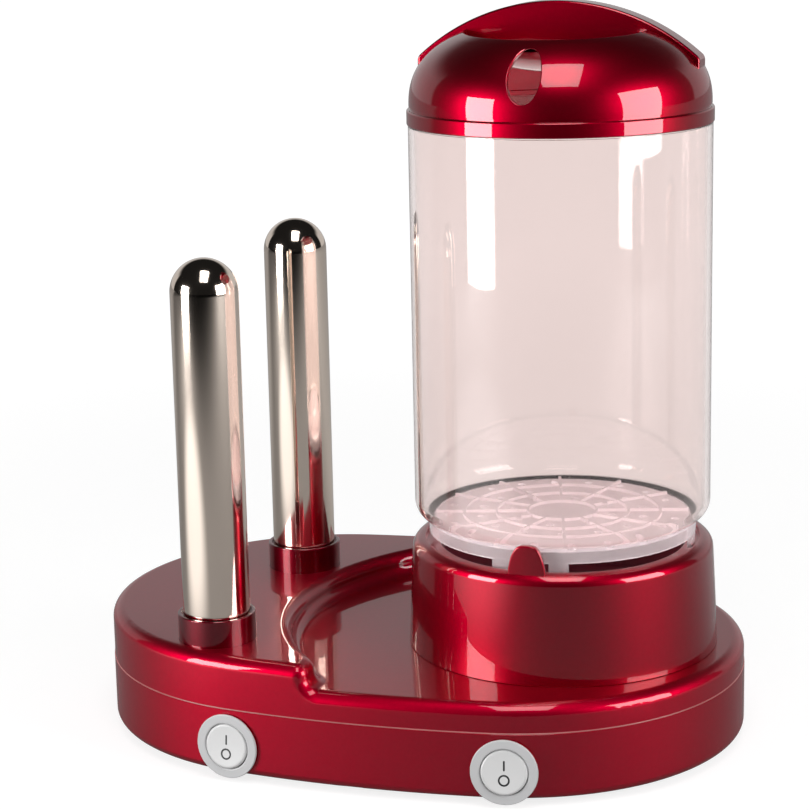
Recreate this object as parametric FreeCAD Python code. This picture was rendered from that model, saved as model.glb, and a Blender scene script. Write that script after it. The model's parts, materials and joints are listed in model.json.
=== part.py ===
import FreeCAD, Part
import math
import os

# Hot dog toaster: oval base, two heated bun spikes, a steam tank with a clear
# vessel, and a domed lid. Millimetres, +Z up, -Y is the front with the switches.
# The origin is on the table, under the middle of the oval base.

over = 1.0            # how far a cutter runs past the face it opens
tiny = 0.001          # how near two places count as the same

# ---------------------------------------------------------------- plan of the base
base_length = 269.4
end_radius = 93.0
side_radius = 410.0
tank_end_inset = 73.6
tank_y = -4.3
spike_end_inset = 67.8
spike_front_y = -67.1
spike_rear_y = 36.7

# ---------------------------------------------------------------- levels and walls
foot_height = 2.8
tub_height = 27.2
lower_deck_rise = 11.2
raised_deck_rise = 9.8
shell_wall = 2.5
tub_bottom_fillet = 3.5
seam_chamfer = 0.5
deck_edge_fillet = 5.0
spike_to_step = 16.0
step_tip_width = 14.0
step_tip_share = 0.77
step_bend_radius = 9.0
step_fillet = 4.8
cover_inset = 0.25

# ---------------------------------------------------------------- feet, pillars and cord entry
foot_radius = 8.0
foot_recess = 1.0
foot_inset_x = 48.0
foot_inset_y = 47.0
pillar_radius = 4.5
pillar_well_radius = 6.0
pillar_well_depth = 9.0
pillar_web = 2.0
pillar_end_inset = 12.8
pillar_side_inset = 18.0
pillar_side_x = -17.0
pillar_corner_inset_x = 34.8
pillar_corner_inset_y = 40.0
screw_radius = 1.5
screw_head_radius = 3.0
screw_head_height = 2.0
base_screw_length = 16.0
screw_clearance = 0.05
hole_clearance = 0.4
cord_radius = 3.5
cord_clearance = 0.15
grommet_neck_radius = 6.0
grommet_flange_radius = 8.0
grommet_flange_thickness = 1.2
cord_height = 14.0
vent_slot_count = 7
vent_slot_pitch = 9.0
vent_slot_width = 3.0
vent_slot_length = 46.0

# ---------------------------------------------------------------- switches
switch_left_x = -53.9
switch_right_x = 59.3
switch_height = 12.0
boss_proud = 0.6
boss_inset = 0.4
boss_depth = 13.0
bezel_radius = 13.2
bezel_thickness = 1.0
bezel_round = 0.4
barrel_radius = 11.0
barrel_depth = 19.0
barrel_floor = 2.0
barrel_clearance = 0.1
rocker_radius = 9.0
rocker_clearance = 0.4
rocker_thickness = 5.0
rocker_round = 1.2
rocker_lift = 0.4
rocker_tilt = 6.0
rocker_pin_radius = 1.2
rocker_pin_reach = 1.3
pin_clearance = 0.05
terminal_width = 4.8
terminal_thickness = 0.8
terminal_length = 8.0
terminal_spacing = 9.0

# ---------------------------------------------------------------- bun spikes
spike_radius = 13.5
spike_wall = 1.0
spike_root_step = 0.2
spike_height = 155.0
spike_flange_width = 1.6
spike_flange_thickness = 1.5
spike_fit = 0.08
collar_gap = 0.7
collar_wall = 1.5
collar_height = 11.0
collar_fit = 0.08
collar_flange_radius = 18.5
collar_floor = 4.0
bracket_thickness = 1.5
bracket_hole_radius = 9.0
bracket_screw_count = 3
bracket_screw_circle = 16.7
bracket_screw_radius = 1.0
bracket_screw_head_radius = 1.8
bracket_screw_head_height = 1.2
bracket_screw_bite = 1.5
spike_heater_radius = 7.5
spike_heater_length = 128.0
heater_cap_radius = 10.5
heater_cap_thickness = 5.0
heater_lead_radius = 1.2
heater_lead_length = 9.0

# ---------------------------------------------------------------- tank shroud, pan and heater
shroud_height = 44.5
shroud_bottom_radius = 63.4
shroud_top_radius = 61.2
shroud_shoulder = 5.5
shroud_lip_radius = 55.8
ledge_drop = 1.9
ledge_inner_radius = 50.0
ledge_thickness = 2.5
tongue_width = 14.0
tongue_thickness = 3.5
tongue_rise = 10.9
pan_wall = 1.2
pan_depth = 20.7
pan_clearance = 0.4
pan_flange_radius = 57.0
gasket_thickness = 1.5
retainer_thickness = 2.0
retainer_radius = 58.2
cover_opening_radius = 46.0
shroud_boss_radius = 4.5
shroud_boss_circle = 57.5
shroud_boss_height = 14.0
shroud_screw_count = 4
shroud_screw_length = 12.0
element_radius = 4.0
element_ring_radius = 36.0
element_gap_angle = 40.0
element_tail = 10.0
element_tail_radius = 2.4
plate_radius = 43.0
plate_thickness = 1.5
stud_radius = 2.5
stud_nut_radius = 4.6
stud_nut_height = 4.0
stud_overhang = 2.0
thermostat_radius = 8.0
thermostat_height = 6.0
thermostat_offset = 20.0
thermostat_tab_offset = 4.0
fuse_radius = 2.0
fuse_wire_radius = 0.4
fuse_length = 12.0
fuse_offset = -20.0
block_length = 30.0
block_width = 16.0
block_height = 13.0
block_pole_count = 3
block_pole_radius = 2.6
block_screw_radius = 2.1
block_from_rear = 42.0

# ---------------------------------------------------------------- clear vessel
vessel_radius = 60.0
vessel_wall = 2.2
vessel_ring_radius = 54.4
vessel_ring_height = 6.2
vessel_ring_lift = 2.8
vessel_height = 165.5
vessel_shoulder_height = 6.8
neck_radius = 58.2
neck_height = 4.6
neck_ramp = 3.0
tray_thickness = 2.0
tray_rib_height = 1.2
tray_rib_width = 1.2
tray_rib_radii = [14.0, 27.0, 40.0]
tray_spoke_count = 12
tray_hole_radius = 1.6
tray_rib_sink = 0.5
tray_edge_sink = 0.5
tray_hole_counts = [8, 14, 20]
tray_hole_radii = [20.5, 33.5, 46.5]
lug_width = 7.8
lug_thickness = 1.8
lug_front_angle = 12.3
lug_side_angles = [90.0, 180.0, 270.0]
notch_clearance = 0.7

# ---------------------------------------------------------------- lid
band_height = 7.0
band_radius = 60.5
band_clearance = 0.3
band_lift = 0.4
band_inner_radius = 56.8
groove_height = 1.2
groove_depth = 1.4
dome_radius = 59.6
dome_height = 34.0
dome_power = 2.4
dome_curve_count = 12
dome_wall = 2.4
handle_thickness = 12.5
handle_half_span = 56.5
handle_arch_radius = 84.0
handle_crest = 6.2
handle_end_drop = 4.0
handle_edge_round = 1.2
blade_fit = 0.03
scoop_half_width = 36.0
scoop_reach = 34.0
scoop_depth = 13.0
scoop_level = 28.5
vent_width = 12.6
vent_height = 19.5
vent_level = 15.0
lid_screw_spacing = 36.0
lid_screw_bite = 3.4
lid_screw_sink = 0.05

# ---------------------------------------------------------------- worked-out places
parting_z = foot_height + tub_height
deck_z = parting_z + lower_deck_rise
raised_z = deck_z + raised_deck_rise
floor_top_z = foot_height + shell_wall
tank_x = base_length / 2 - tank_end_inset
spike_x = spike_end_inset - base_length / 2
step_radius = tank_x - spike_x - spike_to_step
end_x = base_length / 2 - end_radius
side_y = math.sqrt((side_radius - end_radius) ** 2 - end_x ** 2)
half_depth = side_radius - side_y
far_corner_x = base_length / 2 - pillar_corner_inset_x
pillar_places = [(pillar_end_inset - base_length / 2, 0.0)]
for rank in (-1, 1):
    pillar_places.append((pillar_side_x, rank * (half_depth - pillar_side_inset)))
    pillar_places.append((far_corner_x, rank * (half_depth - pillar_corner_inset_y)))
switch_z = foot_height + switch_height
rim_z = deck_z + shroud_height
ledge_z = rim_z - ledge_drop
ledge_low_z = ledge_z - ledge_thickness
flange_top_z = ledge_low_z - gasket_thickness
flange_z = flange_top_z - pan_wall
pan_floor_z = flange_top_z - pan_depth
ring_bottom_z = rim_z + vessel_ring_lift
ring_top_z = ring_bottom_z + vessel_ring_height
lid_z = ring_bottom_z + vessel_height
band_top_z = lid_z + band_height
crest_z = band_top_z + dome_height + handle_crest
up = FreeCAD.Vector(0, 0, 1)


def vec(x, y, z=0.0):
    return FreeCAD.Vector(x, y, z)


def wall_y(x, side):
    """Y of the base's outer wall at x, on the front (side -1) or the rear (side 1)."""
    turn_x = side_radius * end_x / (side_radius - end_radius)
    if abs(x) <= turn_x:
        return side * (math.sqrt(side_radius ** 2 - x ** 2) - side_y)
    return side * math.sqrt(end_radius ** 2 - (abs(x) - end_x) ** 2)


def oval(inset, low, high):
    """Oval prism: two end arcs and two long side arcs, all tangent, moved in by inset."""
    reach = (side_radius - inset) / (side_radius - end_radius)
    turn_x = end_x * reach
    turn_y = side_y * (reach - 1)
    top_y = half_depth - inset
    far_x = base_length / 2 - inset
    arcs = [
        Part.Arc(vec(-turn_x, -turn_y), vec(0, -top_y), vec(turn_x, -turn_y)),
        Part.Arc(vec(turn_x, -turn_y), vec(far_x, 0), vec(turn_x, turn_y)),
        Part.Arc(vec(turn_x, turn_y), vec(0, top_y), vec(-turn_x, turn_y)),
        Part.Arc(vec(-turn_x, turn_y), vec(-far_x, 0), vec(-turn_x, -turn_y)),
    ]
    wire = Part.Wire([arc.toShape() for arc in arcs])
    wire.translate(vec(0, 0, low))
    return Part.Face(wire).extrude(vec(0, 0, high - low))


def cylinder(radius, low, high, x=0.0, y=0.0):
    return Part.makeCylinder(radius, high - low, vec(x, y, low))


def ring(outer, inner, low, high, x=0.0, y=0.0):
    return cylinder(outer, low, high, x, y).cut(cylinder(inner, low - over, high + over, x, y))


def box(x0, y0, z0, x1, y1, z1):
    return Part.makeBox(x1 - x0, y1 - y0, z1 - z0, vec(x0, y0, z0))


def fuse(shapes):
    return shapes[0].multiFuse(shapes[1:]).removeSplitter() if len(shapes) > 1 else shapes[0]


def cut(shape, tools):
    return shape.cut(Part.makeCompound(tools))


def spun(edges, x=0.0, y=0.0):
    """Closed profile in the XZ plane, turned about the Z axis through (x, y)."""
    solid = Part.Face(Part.Wire(edges)).revolve(vec(0, 0), up, 360)
    if solid.Volume < 0:
        solid.reverse()
    return moved(solid, vec(x, y))


def moved(shape, offset):
    copy = shape.copy()
    copy.translate(offset)
    return copy


def lines(points):
    """Straight edges through (radius, height) points, in order."""
    ends = [vec(r, 0, z) for r, z in points]
    return [Part.makeLine(a, b) for a, b in zip(ends, ends[1:])]


def curve(start, middle, end):
    return Part.Arc(vec(start[0], 0, start[1]), vec(middle[0], 0, middle[1]),
                    vec(end[0], 0, end[1])).toShape()


def bulge(low, high):
    """Rounded shoulder that leaves the low point sloping and meets the high one upright."""
    rise = high[1] - low[1]
    run = high[0] - low[0]
    radius = (rise ** 2 + run ** 2) / (2 * run)
    half_rise = rise / 2
    middle = high[0] - radius + math.sqrt(radius ** 2 - half_rise ** 2)
    return curve(low, (middle, high[1] - half_rise), high)


def quarter(corner, start, end):
    """Round a square corner between two (radius, height) points, as a quarter arc."""
    middle = [s + e - c + (c - (s + e - c)) * math.sqrt(0.5)
              for s, e, c in zip(start, end, corner)]
    return curve(start, middle, end)


def around(count, radius, x, y, first=0.0):
    step = 2 * math.pi / count
    start = math.radians(first)
    return [(x + radius * math.cos(start + i * step), y + radius * math.sin(start + i * step))
            for i in range(count)]


def horizontal_edges(shape, height):
    return [e for e in shape.Edges
            if abs(e.BoundBox.ZMin - height) < 1e-4 and abs(e.BoundBox.ZMax - height) < 1e-4]


def save(name, shape):
    shape.exportStep(os.path.join("parts", name + ".step"))


def screw(shank, length, head, head_height, x, y, z):
    """Screw driven upward: head below z, shank above it."""
    return cylinder(shank, z, z + length, x, y).fuse(cylinder(head, z - head_height, z, x, y))


# ---------------------------------------------------------------- base
def foot_places():
    places = []
    for side_x in (-1, 1):
        for side_y_sign in (-1, 1):
            places.append((side_x * (base_length / 2 - foot_inset_x),
                           side_y_sign * (half_depth - foot_inset_y)))
    return places


def switch_frame(x):
    """Centre of a switch boss's face, its outward direction and its pivot direction."""
    wall = vec(x, wall_y(x, -1), switch_z)
    out = vec(wall.x, wall.y - side_y)
    out.normalize()
    across = vec(-out.y, out.x)
    return wall + out * boss_proud, out, across


switches = {
    "left": switch_frame(switch_left_x),
    "right": switch_frame(switch_right_x),
}


def along(face, out, radius, start, end):
    """Cylinder on a switch's own axis, from start to end in front of the boss face."""
    return Part.makeCylinder(radius, end - start, face + out * start, out)


def base_tub():
    body = oval(0, foot_height, parting_z)
    body = body.makeFillet(tub_bottom_fillet, horizontal_edges(body, foot_height))
    body = body.makeChamfer(seam_chamfer, horizontal_edges(body, parting_z))
    body = body.cut(oval(shell_wall, floor_top_z, parting_z + over))
    adds = []
    for face, out, across in switches.values():
        boss = along(face, out, bezel_radius - boss_inset, -boss_depth, 0)
        adds.append(boss.common(oval(-boss_depth, foot_height, parting_z)))
    for x, y in pillar_places:
        adds.append(cylinder(pillar_well_radius, foot_height,
                             foot_height + pillar_well_depth + pillar_web, x, y))
    body = fuse([body] + adds)
    cuts = []
    for face, out, across in switches.values():
        cuts.append(along(face, out, barrel_radius + barrel_clearance, -barrel_depth - over, over))
    for x, y in pillar_places:
        cuts.append(cylinder(screw_head_radius + hole_clearance, foot_height - over,
                             foot_height + pillar_well_depth, x, y))
        cuts.append(cylinder(screw_radius + hole_clearance, foot_height,
                             foot_height + pillar_well_depth + pillar_web + over, x, y))
    for x, y in foot_places():
        cuts.append(cylinder(foot_radius, foot_height - over, foot_height + foot_recess, x, y))
    cuts.append(Part.makeCylinder(grommet_neck_radius, 4 * shell_wall,
                                  vec(0, half_depth - 3 * shell_wall, foot_height + cord_height),
                                  vec(0, 1)))
    for i in range(vent_slot_count):
        x = tank_x + (i - (vent_slot_count - 1) / 2) * vent_slot_pitch
        cuts.append(box(x - vent_slot_width / 2, tank_y - vent_slot_length / 2, foot_height - over,
                        x + vent_slot_width / 2, tank_y + vent_slot_length / 2, floor_top_z + over))
    return cut(body, cuts)


def step_end_x(side):
    """Where a tip of the raised level is cut off, so that it keeps its width by the wall."""
    drop = min(half_depth - step_tip_width - side * tank_y, step_tip_share * step_radius)
    return tank_x - math.sqrt(step_radius ** 2 - drop ** 2)


def step_moon(grow, wall, high):
    """The raised level in plan: outside a circle about the tank, its two tips cut off square."""
    radius = step_radius + wall
    moon = oval(-grow, parting_z, high).cut(cylinder(radius, parting_z - over, high + over,
                                                     tank_x, tank_y))
    for end, near, far in ((step_end_x(-1), -base_length, 0), (step_end_x(1), 0, base_length)):
        moon = moon.cut(box(end - wall, near, parting_z - over, base_length, far, high + over))
        bend = [e for e in moon.Edges if e.BoundBox.YLength < tiny and abs(e.BoundBox.XMax - end + wall) < tiny
                and abs(math.hypot(e.CenterOfMass.x - tank_x, e.CenterOfMass.y - tank_y) - radius) < tiny]
        moon = moon.makeFillet(step_bend_radius - wall, bend)
    return moon


def middle(edge):
    return edge.valueAt((edge.FirstParameter + edge.LastParameter) / 2)


def two_levels():
    """Both levels of the cover, the step between them rounded at its top and at its foot."""
    grow = 2 * step_fillet
    block = oval(-grow, parting_z, deck_z).fuse(step_moon(grow, 0, raised_z)).removeSplitter()
    within = oval(over - grow, parting_z, raised_z + over)
    for level in (raised_z, deck_z):
        block = block.makeFillet(step_fillet, [e for e in horizontal_edges(block, level)
                                               if within.isInside(middle(e), tiny, True)])
    block = block.common(oval(cover_inset, parting_z, raised_z + over))
    within = oval(cover_inset + over, parting_z - over, raised_z + over)
    rim = [e for e in block.Edges if middle(e).z > deck_z - tiny
           and not within.isInside(middle(e), tiny, True)]
    return block.makeFillet(deck_edge_fillet, rim)


def spike_places():
    return {"front": (spike_x, spike_front_y), "rear": (spike_x, spike_rear_y)}


def bracket_screws(x, y):
    """Screw places about a spike, turned so that one faces the tank."""
    toward_tank = math.degrees(math.atan2(tank_y - y, tank_x - x))
    return around(bracket_screw_count, bracket_screw_circle, x, y, toward_tank)


def top_cover():
    outer = two_levels()
    inner = oval(shell_wall, parting_z - over, deck_z - shell_wall)
    inner_high = step_moon(-shell_wall, shell_wall, raised_z - shell_wall)
    shell = outer.cut(inner.fuse(inner_high))
    pillars = [cylinder(pillar_radius, foot_height + pillar_well_depth + pillar_web, raised_z, x, y)
               .common(outer.fuse(oval(shell_wall, foot_height, parting_z)))
               for x, y in pillar_places]
    shell = fuse([shell] + pillars)
    bore = screw_radius + screw_clearance
    cuts = [cylinder(bore, foot_height, foot_height + pillar_well_depth + base_screw_length + over, x, y)
            for x, y in pillar_places]
    cuts.append(cylinder(cover_opening_radius, parting_z, deck_z + over, tank_x, tank_y))
    for x, y in around(shroud_screw_count, shroud_boss_circle, tank_x, tank_y, 45):
        cuts.append(cylinder(screw_radius + hole_clearance, parting_z, deck_z + over, x, y))
    for x, y in spike_places().values():
        cuts.append(cylinder(collar_radius + collar_fit, parting_z, raised_z + over, x, y))
        for px, py in bracket_screws(x, y):
            cuts.append(cylinder(bracket_screw_radius + screw_clearance, parting_z,
                                 collar_seat_z + bracket_screw_bite + screw_clearance, px, py))
    return cut(shell, cuts)


def rubber_feet():
    return Part.makeCompound([cylinder(foot_radius, 0, foot_height + foot_recess, x, y)
                              for x, y in foot_places()])


def base_screws():
    z = foot_height + pillar_well_depth
    return Part.makeCompound([screw(screw_radius, base_screw_length, screw_head_radius,
                                    screw_head_height, x, y, z) for x, y in pillar_places])


def cord_grommet():
    wall = half_depth
    start = vec(0, wall - shell_wall, foot_height + cord_height)
    back = vec(0, 1)
    neck = Part.makeCylinder(grommet_neck_radius, shell_wall + wall_sag, start - back * wall_sag, back)
    inner = Part.makeCylinder(grommet_flange_radius, grommet_flange_thickness,
                              start - back * grommet_flange_thickness, back)
    outer = Part.makeCylinder(grommet_flange_radius, grommet_flange_thickness + wall_sag,
                              start + back * (shell_wall - wall_sag), back)
    shell_side = oval(0, foot_height, parting_z).cut(oval(shell_wall, foot_height - over, parting_z + over))
    body = fuse([neck, inner.cut(shell_side), outer.cut(shell_side)])
    bore = Part.makeCylinder(cord_radius + cord_clearance, 4 * shell_wall, start - back * shell_wall, back)
    return body.cut(bore)


def terminal_block():
    y = half_depth - block_from_rear
    body = box(-block_length / 2, y - block_width / 2, floor_top_z,
               block_length / 2, y + block_width / 2, floor_top_z + block_height)
    pitch = block_length / block_pole_count
    holes = []
    for i in range(block_pole_count):
        x = (i - (block_pole_count - 1) / 2) * pitch
        holes.append(Part.makeCylinder(block_pole_radius, block_width + 2 * over,
                                       vec(x, y - block_width / 2 - over, floor_top_z + block_height / 2),
                                       vec(0, 1)))
        holes.append(cylinder(block_screw_radius, floor_top_z + block_height / 2,
                              floor_top_z + block_height + over, x, y))
    return cut(body, holes)


# ---------------------------------------------------------------- switches
def switch_body(face, out, across):
    bezel = along(face, out, bezel_radius, 0, bezel_thickness)
    front = [e for e in bezel.Edges if (e.CenterOfMass - face).dot(out) > bezel_thickness - tiny
             and e.Closed]
    bezel = bezel.makeFillet(bezel_round, front)
    barrel = along(face, out, barrel_radius, -barrel_depth, 0)
    body = bezel.fuse(barrel)
    cavity = along(face, out, rocker_radius + rocker_clearance,
                   -barrel_depth + barrel_floor, bezel_thickness + over)
    pivot = face + out * rocker_pivot
    reach = barrel_radius + over
    pins = Part.makeCylinder(rocker_pin_radius + pin_clearance, 2 * reach, pivot - across * reach, across)
    return cut(body, [cavity, pins])


def rocker(face, out, across):
    pivot = face + out * rocker_pivot
    back = rocker_pivot - rocker_thickness / 2
    puck = along(face, out, rocker_radius, back, back + rocker_thickness)
    puck = puck.makeFillet(rocker_round, [e for e in puck.Edges if e.Closed])
    reach = rocker_radius + rocker_clearance + rocker_pin_reach - pin_clearance
    pins = Part.makeCylinder(rocker_pin_radius, 2 * reach, pivot - across * reach, across)
    shape = puck.fuse(pins)
    shape.rotate(pivot, across, rocker_tilt)
    return shape


def switch_terminals(face, out, across):
    """Two flat blades that point back from the barrel."""
    blades = []
    base = face - out * barrel_depth
    for sign in (-1, 1):
        blade = Part.makeBox(terminal_width, terminal_length, terminal_thickness,
                             vec(-terminal_width / 2, 0, -terminal_thickness / 2))
        blade.rotate(vec(0, 0), up, math.degrees(math.atan2(-out.y, -out.x)) - 90)
        blade.translate(base + up * (sign * terminal_spacing / 2))
        blades.append(blade)
    return Part.makeCompound(blades)


# ---------------------------------------------------------------- bun spikes
collar_inner = spike_radius + collar_gap
collar_radius = collar_inner + collar_wall
collar_seat_z = raised_z - shell_wall
recess_top_z = collar_seat_z - collar_floor + spike_flange_thickness
bracket_top_z = collar_seat_z - collar_floor
wall_sag = half_depth - wall_y(grommet_flange_radius, 1)
rocker_pivot = bezel_thickness + rocker_lift - rocker_thickness / 2


def spike_collar(x, y):
    top = raised_z + collar_height
    body = cylinder(collar_radius, collar_seat_z, top, x, y)
    body = body.fuse(cylinder(collar_flange_radius, bracket_top_z, collar_seat_z, x, y))
    cuts = [
        cylinder(spike_radius + spike_flange_width + spike_fit, bracket_top_z - over, recess_top_z, x, y),
        cylinder(spike_radius - spike_root_step + spike_fit, bracket_top_z, top + over, x, y),
        cylinder(collar_inner, raised_z, top + over, x, y),
    ]
    for px, py in bracket_screws(x, y):
        cuts.append(cylinder(bracket_screw_radius + screw_clearance, bracket_top_z - over,
                             collar_seat_z + over, px, py))
    return cut(body, cuts)


def spike(x, y):
    """Round-ended tube, swaged in a little where it goes down into its collar."""
    round_z = raised_z + spike_height - spike_radius
    swage_z = raised_z + collar_height
    root = spike_radius - spike_root_step
    inner = root - spike_wall
    low = recess_top_z - spike_flange_thickness
    outside = [
        cylinder(spike_radius, swage_z, round_z, x, y),
        Part.makeSphere(spike_radius, vec(x, y, round_z)),
        cylinder(root, low, swage_z, x, y),
        cylinder(spike_radius + spike_flange_width, low, recess_top_z, x, y),
    ]
    inside = cylinder(inner, low - over, round_z, x, y).fuse(Part.makeSphere(inner, vec(x, y, round_z)))
    return fuse(outside).cut(inside.removeSplitter())


def spike_bracket(x, y):
    low = bracket_top_z - bracket_thickness
    body = ring(collar_flange_radius, bracket_hole_radius, low, bracket_top_z, x, y)
    holes = [cylinder(bracket_screw_radius + screw_clearance, low - over, bracket_top_z + over, px, py)
             for px, py in bracket_screws(x, y)]
    return cut(body, holes)


def spike_screws():
    low = bracket_top_z - bracket_thickness
    length = bracket_thickness + collar_floor + bracket_screw_bite
    shapes = []
    for x, y in spike_places().values():
        for px, py in bracket_screws(x, y):
            shapes.append(screw(bracket_screw_radius, length, bracket_screw_head_radius,
                                bracket_screw_head_height, px, py, low))
    return Part.makeCompound(shapes)


def spike_heater(x, y):
    low = bracket_top_z
    core = cylinder(spike_heater_radius, low, low + spike_heater_length, x, y)
    cap = cylinder(heater_cap_radius, low, low + heater_cap_thickness, x, y)
    leads = [cylinder(heater_lead_radius, low - heater_lead_length, low, x + dx, y)
             for dx in (-spike_heater_radius / 2, spike_heater_radius / 2)]
    return fuse([core, cap] + leads)


# ---------------------------------------------------------------- tank
def tank_shroud():
    side = shroud_top_radius
    top = rim_z
    lip = shroud_lip_radius
    bottom_inner = shroud_bottom_radius - shell_wall
    top_inner = side - shell_wall
    edges = lines([(bottom_inner, deck_z), (shroud_bottom_radius, deck_z),
                   (side, top - shroud_shoulder)])
    edges.append(quarter((side, top), (side, top - shroud_shoulder), (lip, top)))
    edges += lines([(lip, top), (lip, ledge_z), (ledge_inner_radius, ledge_z),
                    (ledge_inner_radius, ledge_low_z), (top_inner, ledge_low_z), (bottom_inner, deck_z)])
    body = spun(edges, tank_x, tank_y)
    half = tongue_width / 2
    front = tank_y - lip - tongue_thickness
    tongue = box(tank_x - half, front, ledge_low_z,
                 tank_x + half, front + tongue_thickness, rim_z + tongue_rise - half)
    tongue = tongue.fuse(Part.makeCylinder(half, tongue_thickness,
                                           vec(tank_x, front, rim_z + tongue_rise - half), vec(0, 1)))
    bosses = [cylinder(shroud_boss_radius, deck_z, deck_z + shroud_boss_height, x, y)
              for x, y in around(shroud_screw_count, shroud_boss_circle, tank_x, tank_y, 45)]
    body = fuse([body, tongue] + bosses)
    bores = [cylinder(screw_radius + screw_clearance, deck_z - over,
                      deck_z + shroud_screw_length, x, y)
             for x, y in around(shroud_screw_count, shroud_boss_circle, tank_x, tank_y, 45)]
    return cut(body, bores)


def shroud_screws():
    z = deck_z - shell_wall
    return Part.makeCompound([screw(screw_radius, shroud_screw_length, screw_head_radius,
                                    screw_head_height, x, y, z)
                              for x, y in around(shroud_screw_count, shroud_boss_circle,
                                                 tank_x, tank_y, 45)])


def heating_pan():
    """Round heated floor of the water pan, with the clamp stud below."""
    outer = ledge_inner_radius - pan_clearance
    low = pan_floor_z - pan_wall
    floor = cylinder(outer, low, pan_floor_z, tank_x, tank_y)
    return floor.fuse(cylinder(stud_radius, stud_low_z, low, tank_x, tank_y))


def pan_collar():
    """Upright side of the water pan, brazed on the floor, with a flange round its top."""
    outer = ledge_inner_radius - pan_clearance
    inner = outer - pan_wall
    edges = lines([(inner, pan_floor_z), (outer, pan_floor_z), (outer, flange_z),
                   (pan_flange_radius, flange_z), (pan_flange_radius, flange_top_z),
                   (inner, flange_top_z), (inner, pan_floor_z)])
    return spun(edges, tank_x, tank_y)


def pan_gasket():
    return ring(pan_flange_radius, ledge_inner_radius, flange_top_z, ledge_low_z, tank_x, tank_y)


def pan_retainer():
    return ring(retainer_radius, ledge_inner_radius, flange_z - retainer_thickness, flange_z,
                tank_x, tank_y)


element_z = pan_floor_z - pan_wall - element_radius
plate_top_z = element_z - element_radius
plate_low_z = plate_top_z - plate_thickness
stud_low_z = plate_low_z - stud_nut_height - stud_overhang


def pan_element():
    """Round rod bent into an open ring under the pan, with two tails turned down."""
    sweep = 360 - element_gap_angle
    ring_rod = Part.makeTorus(element_ring_radius, element_radius, vec(0, 0), up, 0, 360, sweep)
    ring_rod.rotate(vec(0, 0), up, element_gap_angle / 2)
    ring_rod.translate(vec(tank_x, tank_y, element_z))
    tails = []
    for sign in (-1, 1):
        angle = math.radians(sign * element_gap_angle / 2)
        x = tank_x + element_ring_radius * math.cos(angle)
        y = tank_y + element_ring_radius * math.sin(angle)
        tails.append(Part.makeSphere(element_radius, vec(x, y, element_z)))
        tails.append(cylinder(element_tail_radius, plate_low_z - element_tail, element_z, x, y))
    return fuse([ring_rod] + tails)


def element_plate():
    body = cylinder(plate_radius, plate_low_z, plate_top_z, tank_x, tank_y)
    cuts = [cylinder(stud_radius + screw_clearance, plate_low_z - over, plate_top_z + over, tank_x, tank_y)]
    for sign in (-1, 1):
        angle = math.radians(sign * element_gap_angle / 2)
        cuts.append(cylinder(element_tail_radius + hole_clearance, plate_low_z - over, plate_top_z + over,
                             tank_x + element_ring_radius * math.cos(angle),
                             tank_y + element_ring_radius * math.sin(angle)))
    return cut(body, cuts)


def plate_nut():
    low = plate_low_z - stud_nut_height
    corners = [vec(x, y, low) for x, y in around(6, stud_nut_radius, tank_x, tank_y)]
    prism = Part.Face(Part.makePolygon(corners + corners[:1])).extrude(vec(0, 0, stud_nut_height))
    return prism.cut(cylinder(stud_radius + screw_clearance, low - over, plate_low_z + over, tank_x, tank_y))


def thermostat():
    x = tank_x
    y = tank_y + thermostat_offset
    low = plate_low_z - thermostat_height
    body = cylinder(thermostat_radius, low, plate_low_z, x, y)
    tabs = [box(x + s - terminal_width / 2, y - terminal_thickness / 2, low - terminal_length,
                x + s + terminal_width / 2, y + terminal_thickness / 2, low)
            for s in (-thermostat_tab_offset, thermostat_tab_offset)]
    return fuse([body] + tabs)


def thermal_fuse():
    y = tank_y + fuse_offset
    z = plate_low_z - fuse_radius
    body = Part.makeCylinder(fuse_radius, fuse_length, vec(tank_x - fuse_length / 2, y, z), vec(1, 0))
    wires = Part.makeCylinder(fuse_wire_radius, 2 * fuse_length,
                              vec(tank_x - fuse_length, y, z), vec(1, 0))
    return body.fuse(wires)


# ---------------------------------------------------------------- vessel
def tongue_notch():
    half = tongue_width / 2 + notch_clearance
    inner = tank_y - shroud_lip_radius + notch_clearance
    top = rim_z + tongue_rise + notch_clearance
    slot = box(tank_x - half, inner - vessel_radius, ring_bottom_z - over, tank_x + half, inner, top - half)
    return slot.fuse(Part.makeCylinder(half, vessel_radius, vec(tank_x, inner - vessel_radius, top - half),
                                       vec(0, 1)))


def vessel_tube():
    out = vessel_radius
    foot = vessel_ring_radius
    wall = vessel_wall
    knee = ring_top_z + vessel_shoulder_height
    edges = [bulge((foot, ring_top_z), (out, knee))]
    neck_top = lid_z + neck_height
    edges += lines([(out, knee), (out, lid_z), (neck_radius, lid_z), (neck_radius, neck_top),
                    (neck_radius - wall, neck_top), (neck_radius - wall, lid_z),
                    (out - wall, lid_z - neck_ramp), (out - wall, knee)])
    edges.append(bulge((foot - wall, ring_top_z), (out - wall, knee)))
    edges += lines([(foot - wall, ring_top_z), (foot, ring_top_z)])
    return spun(edges, tank_x, tank_y).cut(tongue_notch())


def lug(angle):
    outer = vessel_ring_radius
    inner = outer - lug_thickness
    half = lug_width / 2
    piece = ring(outer, inner, ledge_z, ring_bottom_z + vessel_wall).common(
        box(-half, -outer - over, ledge_z, half, 0, ring_bottom_z + vessel_wall))
    piece.rotate(vec(0, 0), up, angle)
    return moved(piece, vec(tank_x, tank_y))


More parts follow.
